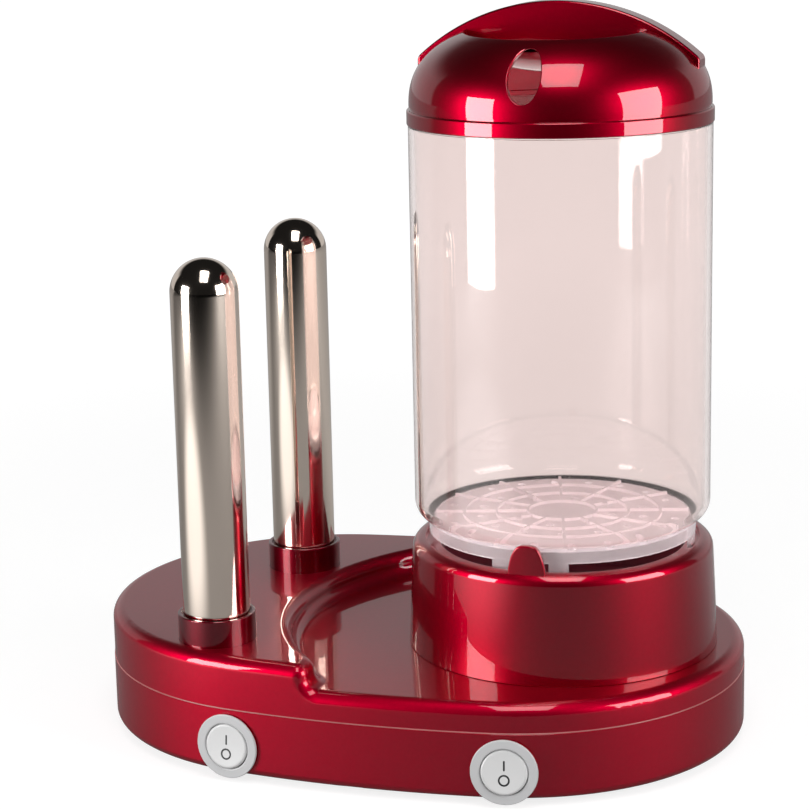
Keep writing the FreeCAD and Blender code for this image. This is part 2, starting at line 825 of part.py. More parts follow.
def vessel_base():
    outer = vessel_ring_radius
    inner = outer - vessel_wall
    tray_low = ring_top_z - tray_thickness
    ribs = ring_top_z + tray_rib_height
    rim = inner - notch_clearance
    parts = [ring(outer, inner, ring_bottom_z, ring_top_z, tank_x, tank_y),
             cylinder(inner + tray_edge_sink, tray_low, ring_top_z, tank_x, tank_y)]
    for r in tray_rib_radii:
        parts.append(ring(r + tray_rib_width / 2, r - tray_rib_width / 2, ring_top_z - tray_rib_sink, ribs,
                          tank_x, tank_y))
    spoke = box(tray_rib_radii[0], -tray_rib_width / 2, ring_top_z - tray_rib_sink, rim,
                tray_rib_width / 2, ribs)
    for i in range(tray_spoke_count):
        turned = spoke.copy()
        turned.rotate(vec(0, 0), up, (i + 0.5) * 360 / tray_spoke_count)
        parts.append(moved(turned, vec(tank_x, tank_y)))
    for angle in [-lug_front_angle, lug_front_angle] + lug_side_angles:
        parts.append(lug(angle))
    body = fuse(parts)
    cuts = [tongue_notch()]
    for count, radius in zip(tray_hole_counts, tray_hole_radii):
        for x, y in around(count, radius, tank_x, tank_y):
            cuts.append(cylinder(tray_hole_radius, tray_low - over, ribs + over, x, y))
    return cut(body, cuts)


# ---------------------------------------------------------------- lid
def dome_curve(radius, height, base):
    """Points of the dome's outline: a power curve from the rim up to the middle."""
    points = []
    for i in range(dome_curve_count):
        t = math.pi / 2 * i / dome_curve_count
        points.append((radius * math.cos(t) ** (2 / dome_power),
                       base + height * math.sin(t) ** (2 / dome_power)))
    return points + [(0.0, base + height)]


def dome_solid(shrink):
    base = band_top_z
    points = dome_curve(dome_radius - shrink, dome_height - shrink, base)
    spline = Part.BSplineCurve()
    spline.interpolate([vec(r, 0, z) for r, z in points],
                       InitialTangent=vec(0, 0, 1), FinalTangent=vec(-1, 0, 0))
    edges = [spline.toShape()] + lines([(0, base + dome_height - shrink), (0, base),
                                        (dome_radius - shrink, base)])
    return spun(edges, tank_x, tank_y)


def scoop(side, grow):
    """Half-ellipsoid finger hollow beside the handle: side -1 in front, 1 behind."""
    ball = Part.makeSphere(1.0)
    matrix = FreeCAD.Matrix()
    matrix.scale(scoop_half_width + grow, scoop_reach + grow, scoop_depth + grow)
    ball = ball.transformGeometry(matrix)
    face = handle_thickness / 2 - grow
    y = tank_y + side * handle_thickness / 2
    ball.translate(vec(tank_x, y, band_top_z + scoop_level))
    reach = 4 * vessel_radius
    near = tank_y + side * face
    half = box(tank_x - reach, min(near, near + side * reach), band_top_z - reach,
               tank_x + reach, max(near, near + side * reach), crest_z + reach)
    level = band_top_z + scoop_level
    chimney = Part.makeCylinder(1.0, 1.0).transformGeometry(stretch(grow))
    chimney.translate(vec(tank_x, y, level))
    return ball.fuse(chimney).common(half)


def stretch(grow):
    matrix = FreeCAD.Matrix()
    matrix.scale(scoop_half_width + grow, scoop_reach + grow, dome_height)
    return matrix


def lid_dome():
    outer = dome_solid(0)
    hollow = dome_solid(dome_wall)
    for side in (-1, 1):
        hollow = hollow.cut(scoop(side, dome_wall))
    shell = outer.cut(hollow)
    for side in (-1, 1):
        shell = shell.cut(scoop(side, 0))
    vent = Part.makeCylinder(1.0, 1.0)
    matrix = FreeCAD.Matrix()
    matrix.scale(vent_width / 2, vent_height / 2, dome_radius)
    vent = vent.transformGeometry(matrix)
    vent.rotate(vec(0, 0), vec(1, 0), 90)
    vent.translate(vec(tank_x, tank_y - handle_thickness / 2 - scoop_reach - dome_wall,
                       band_top_z + vent_level))
    cuts = [vent] + [cylinder(screw_radius + screw_clearance, band_top_z, crest_z,
                              tank_x + s * lid_screw_spacing / 2, tank_y) for s in (-1, 1)]
    return cut(shell, cuts)


def lid_band():
    socket = neck_radius + band_clearance
    socket_top = lid_z + neck_height + band_lift
    groove = band_radius - groove_depth
    shoulder = band_top_z - groove_height
    edges = lines([(socket, lid_z), (band_radius, lid_z), (band_radius, shoulder), (groove, shoulder),
                   (groove, band_top_z), (band_inner_radius, band_top_z),
                   (band_inner_radius, socket_top), (socket, socket_top), (socket, lid_z)])
    return spun(edges, tank_x, tank_y)


def arch_height(x):
    return crest_z - handle_arch_radius + math.sqrt(handle_arch_radius ** 2 - x ** 2)


def lid_handle():
    half = handle_half_span
    tip = arch_height(half)
    low = tip - handle_end_drop
    outline = [Part.Arc(vec(-half, 0, tip), vec(0, 0, crest_z), vec(half, 0, tip)).toShape()]
    outline += lines([(half, tip), (half, low), (-half, low), (-half, tip)])
    blade = Part.Face(Part.Wire(outline)).extrude(vec(0, handle_thickness))
    blade.translate(vec(tank_x, tank_y - handle_thickness / 2))
    long_edges = [e for e in blade.Edges if e.BoundBox.YLength < 1e-6 and e.BoundBox.XLength > half]
    top_edges = [e for e in long_edges if e.BoundBox.ZMax > tip + over]
    blade = blade.makeFillet(handle_edge_round, top_edges)
    blade = blade.cut(dome_solid(-blade_fit))
    bites = [cylinder(screw_radius + screw_clearance, band_top_z, lid_screw_top(), x, tank_y)
             for x in lid_screw_xs()]
    return cut(blade, bites)


def lid_screw_xs():
    return [tank_x - lid_screw_spacing / 2, tank_x + lid_screw_spacing / 2]


def dome_top(r, shrink):
    share = (r / (dome_radius - shrink)) ** dome_power
    return band_top_z + (dome_height - shrink) * (1 - share) ** (1 / dome_power)


def lid_screw_top():
    return dome_top(lid_screw_spacing / 2, 0) + lid_screw_bite


def lid_screws():
    seat = dome_top(lid_screw_spacing / 2 + screw_head_radius, dome_wall) - lid_screw_sink
    return Part.makeCompound([screw(screw_radius, lid_screw_top() - seat, screw_head_radius,
                                    screw_head_height, x, tank_y, seat) for x in lid_screw_xs()])


os.makedirs("parts", exist_ok=True)
save("base_tub", base_tub())
save("top_cover", top_cover())
save("rubber_feet", rubber_feet())
save("base_screws", base_screws())
save("cord_grommet", cord_grommet())
save("terminal_block", terminal_block())
for side, place in switches.items():
    save("switch_body_" + side, switch_body(*place))
    save("rocker_" + side, rocker(*place))
    save("switch_terminals_" + side, switch_terminals(*place))
for end, (x, y) in spike_places().items():
    save("bun_spike_" + end, spike(x, y))
    save("spike_collar_" + end, spike_collar(x, y))
    save("spike_bracket_" + end, spike_bracket(x, y))
    save("spike_heater_" + end, spike_heater(x, y))
save("spike_screws", spike_screws())
save("tank_shroud", tank_shroud())
save("shroud_screws", shroud_screws())
save("heating_pan", heating_pan())
save("pan_collar", pan_collar())
save("pan_gasket", pan_gasket())
save("pan_retainer", pan_retainer())
save("pan_element", pan_element())
save("element_plate", element_plate())
save("plate_nut", plate_nut())
save("thermostat", thermostat())
save("thermal_fuse", thermal_fuse())
save("vessel_tube", vessel_tube())
save("vessel_base", vessel_base())
save("lid_band", lid_band())
save("lid_dome", lid_dome())
save("lid_handle", lid_handle())
save("lid_screws", lid_screws())
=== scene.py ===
import json
import math
import bmesh
import bpy
import numpy as np
from mathutils import Matrix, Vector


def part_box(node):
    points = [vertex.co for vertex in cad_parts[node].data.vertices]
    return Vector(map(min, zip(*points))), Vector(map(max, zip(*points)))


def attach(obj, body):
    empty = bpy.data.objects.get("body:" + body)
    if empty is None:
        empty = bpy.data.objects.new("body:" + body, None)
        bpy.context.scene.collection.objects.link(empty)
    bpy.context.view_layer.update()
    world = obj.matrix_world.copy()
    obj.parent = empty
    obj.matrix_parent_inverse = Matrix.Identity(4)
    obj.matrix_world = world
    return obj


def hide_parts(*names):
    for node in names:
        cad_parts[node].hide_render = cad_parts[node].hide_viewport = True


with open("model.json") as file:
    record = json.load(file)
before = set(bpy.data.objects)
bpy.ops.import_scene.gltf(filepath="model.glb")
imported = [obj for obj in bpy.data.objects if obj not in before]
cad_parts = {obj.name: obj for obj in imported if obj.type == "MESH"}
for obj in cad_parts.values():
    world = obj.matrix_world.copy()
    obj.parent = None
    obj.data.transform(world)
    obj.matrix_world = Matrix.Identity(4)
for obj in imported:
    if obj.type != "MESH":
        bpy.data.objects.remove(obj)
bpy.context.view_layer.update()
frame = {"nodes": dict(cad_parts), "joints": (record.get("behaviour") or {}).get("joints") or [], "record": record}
print("frame loaded")

mm = 0.001


def low(node):
    # lowest corner of a CAD node, in millimetres
    return np.array(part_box(node)[0]) / mm


def high(node):
    return np.array(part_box(node)[1]) / mm


# axis of the tank and the levels that the pieces start from, in millimetres
tankX, tankY = ((low("lid_band") + high("lid_band")) / 2)[:2]
rimZ = 85.7                          # rim of the tank, under its tongue
lidZ = low("lid_band")[2]
domeZ = low("lid_dome")[2]
raisedZ = high("top_cover")[2]


def hexColour(text):
    # sRGB hex to linear: c / 12.92 below 0.04045, else ((c + 0.055) / 1.055) to the power 2.4
    parts = [int(text[i:i + 2], 16) / 255 for i in (1, 3, 5)]
    return [p / 12.92 if p <= 0.04045 else ((p + 0.055) / 1.055) ** 2.4 for p in parts] + [1.0]


def addNode(tree, kind, settings=None, links=None):
    # settings go to the node's sockets, by name or number, or else to its own options
    node = tree.nodes.new(kind)
    for key, value in (settings or {}).items():
        if isinstance(key, int) or key in node.inputs.keys():
            node.inputs[key].default_value = value
        else:
            setattr(node, key, value)
    for key, source in (links or {}).items():
        tree.links.new(source, node.inputs[key])
    return node


def noiseNode(tree, place, scale, detail=3.0):
    return addNode(tree, "ShaderNodeTexNoise", {"Scale": scale, "Detail": detail},
                   {"Vector": place}).outputs[0]


def mathNode(tree, operation, a, b):
    return addNode(tree, "ShaderNodeMath", {"operation": operation}, {0: a, 1: b}).outputs[0]


def smoothNode(tree, value, start, end, first=0.0, last=1.0):
    # goes smoothly from first, where the value is at start, to last, where it is at end
    return addNode(tree, "ShaderNodeMapRange",
                   {"interpolation_type": "SMOOTHSTEP", "From Min": start, "From Max": end,
                    "To Min": first, "To Max": last}, {"Value": value}).outputs[0]


def addObject(name, data):
    obj = bpy.data.objects.new(name, data)
    bpy.context.scene.collection.objects.link(obj)
    return obj


def placeObject(obj, right, up, back, place):
    # the matrix has the object's own three directions and its place as columns
    rows = [[right[i], up[i], back[i], place[i]] for i in range(3)]
    obj.matrix_world = Matrix(rows + [[0, 0, 0, 1]])


def weightNormals(obj):
    # larger faces count for more in the shading, and sharp edges stay
    weighted = obj.modifiers.new("weighted", "WEIGHTED_NORMAL")
    weighted.keep_sharp = True


def newMaterial(name):
    material = bpy.data.materials.new(name)
    material.use_nodes = True
    tree = material.node_tree
    tree.nodes.clear()
    out = addNode(tree, "ShaderNodeOutputMaterial")
    return material, tree, out


def surfaceMaterial(name, settings, tint=None, grain=None, wear=None):
    # tint: (second colour, scale per metre, share) mottles the base colour
    # grain: (scale per metre, strength, height in metres) is a fine bump
    # wear: (scale per metre, low, high) varies the roughness
    material, tree, out = newMaterial(name)
    shader = addNode(tree, "ShaderNodeBsdfPrincipled", settings)
    tree.links.new(shader.outputs[0], out.inputs["Surface"])
    place = addNode(tree, "ShaderNodeTexCoord").outputs["Object"]
    if tint:
        share = addNode(tree, "ShaderNodeMath", {"operation": "MULTIPLY", 1: tint[2]},
                        {0: noiseNode(tree, place, tint[1])})
        mix = addNode(tree, "ShaderNodeMix",
                      {"data_type": "RGBA", 6: settings["Base Color"], 7: hexColour(tint[0])},
                      {0: share.outputs[0]})
        tree.links.new(mix.outputs[2], shader.inputs["Base Color"])
    if wear:
        span = addNode(tree, "ShaderNodeMapRange", {"To Min": wear[1], "To Max": wear[2]},
                       {"Value": noiseNode(tree, place, wear[0], 4.0)})
        tree.links.new(span.outputs[0], shader.inputs["Roughness"])
    if grain:
        bump = addNode(tree, "ShaderNodeBump", {"Strength": grain[1], "Distance": grain[2]},
                       {"Height": noiseNode(tree, place, grain[0])})
        tree.links.new(bump.outputs[0], shader.inputs["Normal"])
    return material


# candy red lacquer on moulded ABS: fine metal flakes under a tinted coat, then a clear gloss coat.
# The flakes give a dark body with a saturated glow round each light. They are 0.05 mm across and
# are drawn as a faint 1.5 mm mottle, so that they show.
lacquer = {"colour": "#A80022", "flake": "#800018", "roughness": 0.40, "coat": 1.0,
           "coatIor": 1.52}
# the two shells of the base get a brighter copy of the lacquer, painted light on their walls; its rougher flakes
# make their glow wider
shellLacquerPaintedLight = {"colour": "#B80028", "flake": "#920020", "roughness": 0.48, "coat": 0.9,
                "coatIor": 1.5}
# the small collars get a darker copy of the lacquer
collarLacquer = {"colour": "#76001A", "flake": "#5E0014", "roughness": 0.36, "coat": 1.0,
                 "coatIor": 1.52}


def lacquerMaterial(name, values):
    return surfaceMaterial(
        name, {"Base Color": hexColour(values["colour"]), "Metallic": 1.0,
               "Roughness": values["roughness"], "Coat Weight": values["coat"],
               "Coat Roughness": 0.02, "Coat IOR": values["coatIor"]},
        tint=(values["flake"], 650.0, 0.5), grain=(90.0, 0.02, 0.0002))


# clear polycarbonate, injection moulded and polished: hardly any tint, sharp reflections
clear = {"colour": "#EAE0DE", "roughness": 0.015, "ior": 1.5}

finishes = {
    "red_lacquer": lacquerMaterial("candyRedLacquer", lacquer),
    "clear_plastic": surfaceMaterial(
        "clearPolycarbonate", {"Base Color": hexColour(clear["colour"]), "IOR": clear["ior"],
                               "Roughness": clear["roughness"], "Transmission Weight": 1.0},
        grain=(60.0, 0.02, 0.0002)),
    # drawn and polished stainless tube: near mirror, with faint marks 0.7 mm apart; its warm cream tint is a
    # painted reflection of buns on the spikes
    "polished_steel": surfaceMaterial(
        "polishedStainlessPaintedWarmReflection", {"Base Color": hexColour("#FBEBDD"), "Metallic": 1.0, "Roughness": 0.08},
        grain=(1500.0, 0.02, 0.00002), wear=(30.0, 0.06, 0.12)),
    # pressed stainless sheet, satin from rolling
    "pan_steel": surfaceMaterial(
        "satinStainless", {"Base Color": hexColour("#B4B2AF"), "Metallic": 1.0, "Roughness": 0.3},
        grain=(900.0, 0.15, 0.00003), wear=(60.0, 0.24, 0.36)),
    # satin moulded ABS with a 0.4 mm spark texture
    "switch_grey": surfaceMaterial(
        "satinGreyAbs", {"Base Color": hexColour("#BDBDBE"), "Roughness": 0.38, "IOR": 1.5},
        grain=(2500.0, 0.06, 0.00002), wear=(200.0, 0.34, 0.42)),
    # moulded feet, dull and slightly dusty
    "black_rubber": surfaceMaterial(
        "blackRubber", {"Base Color": hexColour("#171717"), "Roughness": 0.8},
        tint=("#242322", 300.0, 0.6), grain=(2500.0, 0.3, 0.00005)),
    # moulded seal, soft grey with no gloss
    "silicone": surfaceMaterial(
        "greySilicone", {"Base Color": hexColour("#A9A6A2"), "Roughness": 0.6},
        tint=("#9A968F", 200.0, 0.5), grain=(1200.0, 0.1, 0.00003)),
    # moulded nylon with a 0.5 mm spark texture, low gloss
    "black_plastic": surfaceMaterial(
        "blackNylon", {"Base Color": hexColour("#1A1A1C"), "Roughness": 0.5},
        tint=("#26262A", 400.0, 0.5), grain=(1800.0, 0.2, 0.00003)),
    # annealed tube of a heating rod, dull and heat-stained
    "heater_sheath": surfaceMaterial(
        "dullAlloySheath", {"Base Color": hexColour("#8E8E8C"), "Metallic": 1.0, "Roughness": 0.42},
        tint=("#74706A", 250.0, 0.7), grain=(700.0, 0.3, 0.00003)),
    # bright zinc plate, cool grey with paler and darker patches
    "plated_steel": surfaceMaterial(
        "zincPlatedSteel", {"Base Color": hexColour("#A8A8A2"), "Metallic": 1.0, "Roughness": 0.3},
        tint=("#8F9094", 500.0, 0.6), grain=(800.0, 0.2, 0.00003)),
    # stamped brass, yellow with a soft shine
    "brass": surfaceMaterial(
        "brightBrass", {"Base Color": hexColour("#C9A661"), "Metallic": 1.0, "Roughness": 0.22},
        tint=("#B08A46", 400.0, 0.5), grain=(700.0, 0.1, 0.00003)),
}
# the vessel's foot is the same plastic, with a fine frosting inside the tray's edge (in metres),
# which softens what shows through it
foot = {"colour": "#E6DADC", "trayRadius": 0.0515, "ringRough": 0.15, "ringClear": 0.76,
        "trayRough": 0.35, "trayClear": 0.62, "edgeSoft": 0.0004, "grain": 400.0}


def makeFootFinish():
    material, tree, out = newMaterial("frostedPolycarbonate")
    place = addNode(tree, "ShaderNodeTexCoord").outputs["Object"]
    flat = addNode(tree, "ShaderNodeVectorMath", {"operation": "MULTIPLY", 1: (1, 1, 0)}, {0: place})
    away = addNode(tree, "ShaderNodeVectorMath",
                   {"operation": "DISTANCE", 1: (tankX * mm, tankY * mm, 0)}, {0: flat.outputs[0]})
    inside, outside = (foot["trayRadius"] + sign * foot["edgeSoft"] for sign in (-1, 1))
    clearness = addNode(tree, "ShaderNodeMapRange",
                        {"From Min": inside, "From Max": outside,
                         "To Min": foot["trayClear"], "To Max": foot["ringClear"]},
                        {"Value": away.outputs["Value"]})
    rough = addNode(tree, "ShaderNodeMapRange",
                    {"From Min": inside, "From Max": outside,
                     "To Min": foot["trayRough"], "To Max": foot["ringRough"]},
                    {"Value": away.outputs["Value"]})
    bump = addNode(tree, "ShaderNodeBump", {"Strength": 0.1, "Distance": 0.0002},
                   {"Height": noiseNode(tree, place, foot["grain"])})
    shader = addNode(tree, "ShaderNodeBsdfPrincipled",
                     {"Base Color": hexColour(foot["colour"]), "IOR": 1.5},
                     {"Transmission Weight": clearness.outputs[0], "Roughness": rough.outputs[0],
                      "Normal": bump.outputs[0]})
    tree.links.new(shader.outputs[0], out.inputs["Surface"])
    return material


footFinish = makeFootFinish()
shellPaintedLightFinish = lacquerMaterial("candyRedLacquerPaintedLightWideFlake", shellLacquerPaintedLight)
collarFinish = lacquerMaterial("candyRedLacquerDarker", collarLacquer)
# dark red on the pan and its collar, painted shade of the tank's closed inside, and nearly without shine
panPaintedShade = surfaceMaterial(
    "panPaintedShadeDarkRed", {"Base Color": hexColour("#4A121B"), "Roughness": 0.5,
                     "Specular IOR Level": 0.2},
    tint=("#380C14", 300.0, 0.6), grain=(900.0, 0.15, 0.00003))
# pale pink along the joint of the shells, a painted highlight standing in for light caught by the joint's edge;
# its patches are uneven
seamPaintedHighlight = surfaceMaterial(
    "seamPaintedHighlightEdge", {"Base Color": hexColour("#B06F6D"), "Roughness": 0.3},
    tint=("#8E4547", 150.0, 0.8), grain=(300.0, 0.1, 0.0001))
# paler moulded ABS of the rockers, and the dark pad-printed ink of their on and off marks
rockerFace = surfaceMaterial(
    "satinWhiteAbs", {"Base Color": hexColour("#CBCBCB"), "Roughness": 0.34, "IOR": 1.5},
    grain=(2500.0, 0.05, 0.00002), wear=(200.0, 0.3, 0.38))
markInk = surfaceMaterial(
    "darkPrintInk", {"Base Color": hexColour("#1C1E20"), "Roughness": 0.5},
    tint=("#28282A", 900.0, 0.5), grain=(3000.0, 0.1, 0.00001))
print("finishes ready")


# loose triangles closer than joinWithin metres are joined before they are shaded smooth
shading = {"joinWithin": 0.000002, "cadSharp": 32, "pieceSharp": 40}


def softGroup():
    # joins the corners of loose triangles and shades smooth, except across edges over cadSharp degrees
    group = bpy.data.node_groups.new("smoothBetweenSharpEdges", "GeometryNodeTree")
    group.interface.new_socket("Geometry", in_out="INPUT", socket_type="NodeSocketGeometry")
    group.interface.new_socket("Geometry", in_out="OUTPUT", socket_type="NodeSocketGeometry")
    start = addNode(group, "NodeGroupInput")
    end = addNode(group, "NodeGroupOutput")
    merge = addNode(group, "GeometryNodeMergeByDistance", {"Distance": shading["joinWithin"]},
                    {"Geometry": start.outputs[0]})
    angle = addNode(group, "GeometryNodeInputMeshEdgeAngle")
    sharp = addNode(group, "FunctionNodeCompare", {"data_type": "FLOAT", "operation": "LESS_THAN",
                                                   "B": math.radians(shading["cadSharp"])},
                    {"A": angle.outputs["Unsigned Angle"]})
    faces = addNode(group, "GeometryNodeSetShadeSmooth", {"domain": "FACE"},
                    {"Geometry": merge.outputs[0]})
    edges = addNode(group, "GeometryNodeSetShadeSmooth", {"domain": "EDGE"},
                    {"Geometry": faces.outputs[0], "Shade Smooth": sharp.outputs[0]})
    group.links.new(edges.outputs[0], end.inputs[0])
    return group


softEdges = softGroup()
slotOf = {p["node"]: p["material_slot"] for p in frame["record"]["subparts"]}
for name, obj in frame["nodes"].items():
    obj.data.materials.clear()
    obj.data.materials.append(finishes[slotOf[name]])
    modifier = obj.modifiers.new("soft", "NODES")
    modifier.node_group = softEdges
    weightNormals(obj)
# the pan and its collar take the dark red of painted shade
special = {"vessel_base": footFinish, "heating_pan": panPaintedShade, "pan_collar": panPaintedShade,
           # the base's shells take the brighter lacquer of painted light
           "base_tub": shellPaintedLightFinish, "top_cover": shellPaintedLightFinish}
for name, finish in special.items():
    frame["nodes"][name].data.materials[0] = finish
print("frame dressed")


def makePiece(name, patches, finish, body, replaced=()):
    # each patch is (grid of points in mm, closed along its first side, closed along its second,
    # mask of the cells to keep or None). Four neighbours of a grid make a face, and points within
    # a thousandth of a millimetre become one; the odd shift keeps round numbers off the cell edges
    points, cells, count = [], [], 0
    for grid, wrapU, wrapV, keep in patches:
        n, m = grid.shape[:2]
        i, j = np.meshgrid(np.arange(n if wrapU else n - 1), np.arange(m if wrapV else m - 1),
                           indexing="ij")
        nextI, nextJ = (i + 1) % n, (j + 1) % m
        cell = np.stack([i * m + j, nextI * m + j, nextI * m + nextJ, i * m + nextJ], -1)
        cell = cell[keep] if keep is not None else cell.reshape(-1, 4)
        cells.append(cell + count)
        points.append(grid.reshape(-1, 3))
        count += n * m
    points = np.concatenate(points) * mm
    weld, shift = 1e-6, 0.3713
    keys = np.floor(points / weld + shift).astype(np.int64)
    _, first, index = np.unique(keys, axis=0, return_index=True, return_inverse=True)
    cells = index.reshape(-1)[np.concatenate(cells)]
    # a cell with one doubled corner becomes a triangle, and points of left-out cells are dropped
    same = cells == np.roll(cells, -1, axis=1)
    quads = cells[~same.any(1)]
    once = same.sum(1) == 1
    corners = cells[once][~same[once]].reshape(-1, 3)
    used, order = np.unique(np.concatenate([quads.ravel(), corners.ravel()]), return_inverse=True)
    order = order.reshape(-1)
    sizes = np.concatenate([np.full(len(quads), 4), np.full(len(corners), 3)])
    after = np.concatenate([np.roll(order[:quads.size].reshape(-1, 4), -1, axis=1).ravel(),
                            np.roll(order[quads.size:].reshape(-1, 3), -1, axis=1).ravel()])
    edges = np.sort(np.stack([order, after], axis=1), axis=1)
    openEdges = int((np.unique(edges, axis=0, return_counts=True)[1] != 2).sum())
    mesh = bpy.data.meshes.new(name)
    mesh.vertices.add(len(used))
    mesh.vertices.foreach_set("co", points[first][used].ravel())
    mesh.loops.add(len(order))
    mesh.loops.foreach_set("vertex_index", order.astype(np.int32))
    mesh.polygons.add(len(sizes))
    mesh.polygons.foreach_set("loop_start", (np.cumsum(sizes) - sizes).astype(np.int32))
    mesh.polygons.foreach_set("loop_total", sizes.astype(np.int32))
    mesh.update(calc_edges=True)
    mesh.validate()
    work = bmesh.new()
    work.from_mesh(mesh)
    bmesh.ops.recalc_face_normals(work, faces=work.faces)
    work.to_mesh(mesh)
    work.free()
    mesh.polygons.foreach_set("use_smooth", np.ones(len(mesh.polygons), bool))
    mesh.set_sharp_from_angle(angle=math.radians(shading["pieceSharp"]))
    obj = addObject(name, mesh)
    mesh.materials.append(finish)
    weightNormals(obj)
    if replaced:
        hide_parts(*replaced)
    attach(obj, body)
    print(name, len(mesh.polygons), "faces", openEdges, "open edges")
    return obj


def roundedLoop(corners, radii, steps=7):
    # closed outline whose corner k becomes an arc of radius radii[k]. The arc runs between its
    # tangent points a and b as a turn about its centre c by shares of the whole angle w:
    # p(t) = c + (sin((1 - t) w) (a - c) + sin(t w) (b - c)) / sin w. Doubled points are dropped
    corners = np.array(corners, float)
    radii = np.array(radii, float)[:, None]
    before = np.roll(corners, 1, axis=0) - corners
    after = np.roll(corners, -1, axis=0) - corners
    before /= np.linalg.norm(before, axis=1, keepdims=True)
    after /= np.linalg.norm(after, axis=1, keepdims=True)
    half = np.arccos(np.clip((before * after).sum(1, keepdims=True), -1, 1)) / 2
    a = corners + before * radii / np.tan(half)
    b = corners + after * radii / np.tan(half)
    centre = (before + after) / np.linalg.norm(before + after, axis=1, keepdims=True)
    centre = corners + centre * radii / np.sin(half)
    w = (np.pi - 2 * half)[:, None]
    t = np.linspace(0, 1, steps)[None, :, None]
    arcs = centre[:, None] + (np.sin((1 - t) * w) * (a - centre)[:, None]
                              + np.sin(t * w) * (b - centre)[:, None]) / np.sin(w)
    points = arcs.reshape(-1, 2)
    least = 0.0005
    return points[np.hypot(*(points - np.roll(points, 1, axis=0)).T) > least]


def turned(profile, x, y, angles):
    # every profile point (r, z) goes round the upright line through (x, y), at angle a to
    # (x + r cos a, y + r sin a, z)
    a = np.asarray(angles)[:, None]
    r, z = profile[:, 0], profile[:, 1]
    return np.stack([x + r * np.cos(a), y + r * np.sin(a), z + 0 * a], axis=-1)


def evenAngles(count):
    return np.linspace(0, 2 * np.pi, count, endpoint=False)


def turnedPiece(name, profile, x, y, finish, body, replaced=(), count=160):
    return makePiece(name, [(turned(profile, x, y, evenAngles(count)), True, True, None)],
                     finish, body, replaced)


# clear tube: a plain wall with a rounded foot, a narrower neck for the lid, and an arched notch
# in front where the tongue of the tank comes up
tube = {"radius": 60.0, "wall": 2.2, "footRadius": 54.4, "bendFoot": 94.7, "foot": 94.73,
        "knee": 101.5, "neckRadius": 58.2, "neckHeight": 4.6, "neckRamp": 0.3, "neckGap": 0.02,
        "notchHalf": 7.7, "notchTop": 97.3, "notchDegrees": 12}


def makeTube():
    # the foot's radius follows an arc, r = c + sqrt(R^2 - (knee - z)^2), with z from the foot up
    # to the knee; in front the foot's edge is a round arch, top - h + sqrt(h^2 - x^2)
    side = np.arange(-tube["notchDegrees"], tube["notchDegrees"] + 0.01, 0.5)
    angles = np.unique(np.round(np.concatenate([evenAngles(180), np.radians(270 + side)]), 6))
    rise = tube["knee"] - tube["bendFoot"]
    run = tube["radius"] - tube["footRadius"]
    bend = (rise ** 2 + run ** 2) / (2 * run)
    share = np.linspace(0, 1, 12)[None, :]

    def footRows(inset):
        x = (tube["footRadius"] - inset) * np.cos(angles)[:, None]
        half = tube["notchHalf"]
        arch = tube["notchTop"] - half + np.sqrt(np.clip(half ** 2 - x ** 2, 0, None))
        inFront = (np.abs(x) < half) & (np.sin(angles)[:, None] < 0)
        bottom = np.where(inFront, np.maximum(arch, tube["foot"]), tube["foot"])
        z = bottom + share * (tube["knee"] - bottom)
        below = np.clip(tube["knee"] - z, 0, rise)
        r = tube["radius"] - inset - bend + np.sqrt(bend ** 2 - below ** 2)
        return r, z

    outerR, outerZ = footRows(0.0)
    innerR, innerZ = footRows(tube["wall"])
    neck, wall, top = tube["neckRadius"], tube["wall"], lidZ + tube["neckHeight"]
    shoulder = lidZ - tube["neckGap"]
    upper = roundedLoop([(tube["radius"], tube["knee"]), (tube["radius"], shoulder),
                         (neck, shoulder), (neck, top), (neck - wall, top), (neck - wall, lidZ),
                         (tube["radius"] - wall, lidZ - tube["neckRamp"]),
                         (tube["radius"] - wall, tube["knee"])],
                        [0, 0.5, 0.3, 0.5, 0.5, 0.8, 0.8, 0])[1:-1]
    upperR, upperZ = (np.repeat(upper[None, :, k], len(angles), 0) for k in (0, 1))
    r = np.concatenate([outerR, upperR, innerR[:, ::-1]], axis=1)
    z = np.concatenate([outerZ, upperZ, innerZ[:, ::-1]], axis=1)
    grid = np.stack([tankX + r * np.cos(angles)[:, None],
                     tankY + r * np.sin(angles)[:, None], z], -1)
    obj = makePiece("clearTube", [(grid, True, True, None)], finishes["clear_plastic"], "vessel",
                    ["vessel_tube"])
    obj.visible_shadow = False      # light goes through the clear wall


makeTube()
frame["nodes"]["vessel_base"].visible_shadow = False      # nor does the clear foot stop it

# lid band: plain ring with a socket below for the tube's neck and a narrow groove above
band = {"radius": 60.5, "groove": 59.1, "socket": 58.5, "inner": 56.8, "height": 7.0,
        "grooveHeight": 1.2, "socketHeight": 5.0, "topRound": 0.7, "edgeRound": 0.35}


def makeBand():
    # a rounded profile turned round the tank's axis
    z, top, socket = lidZ, lidZ + band["height"], lidZ + band["socketHeight"]
    groove = top - band["grooveHeight"]
    profile = roundedLoop(
        [(band["socket"], z), (band["radius"], z), (band["radius"], groove),
         (band["groove"], groove), (band["groove"], top), (band["inner"], top),
         (band["inner"], socket), (band["socket"], socket)],
        [0.3, band["edgeRound"], band["topRound"], 0.15, 0.1, 0.3, 0.2, 0.2])
    turnedPiece("lidBand", profile, tankX, tankY, finishes["red_lacquer"], "lid",
                ["lid_band"], 200)


makeBand()

# lid dome: a power curve of revolution with one finger hollow each side of the blade and an oval
# steam vent in front; all heights are from the top of the band
dome = {"radius": 59.6, "height": 34.0, "power": 2.4, "wall": 2.4, "halfWidth": 36.0, "reach": 34.0,
        "depth": 13.0, "level": 28.5, "bladeHalf": 6.25, "rimRound": 0.5, "skirtTop": 26.2,
        "rimSteep": 1200, "innerRows": 0.991, "ventHalf": 6.3, "ventRise": 9.75, "ventLevel": 15.0,
        "ventRound": 0.45, "columnStep": 1.5, "ventFrom": 261, "ventTo": 279, "ventRow": 3}
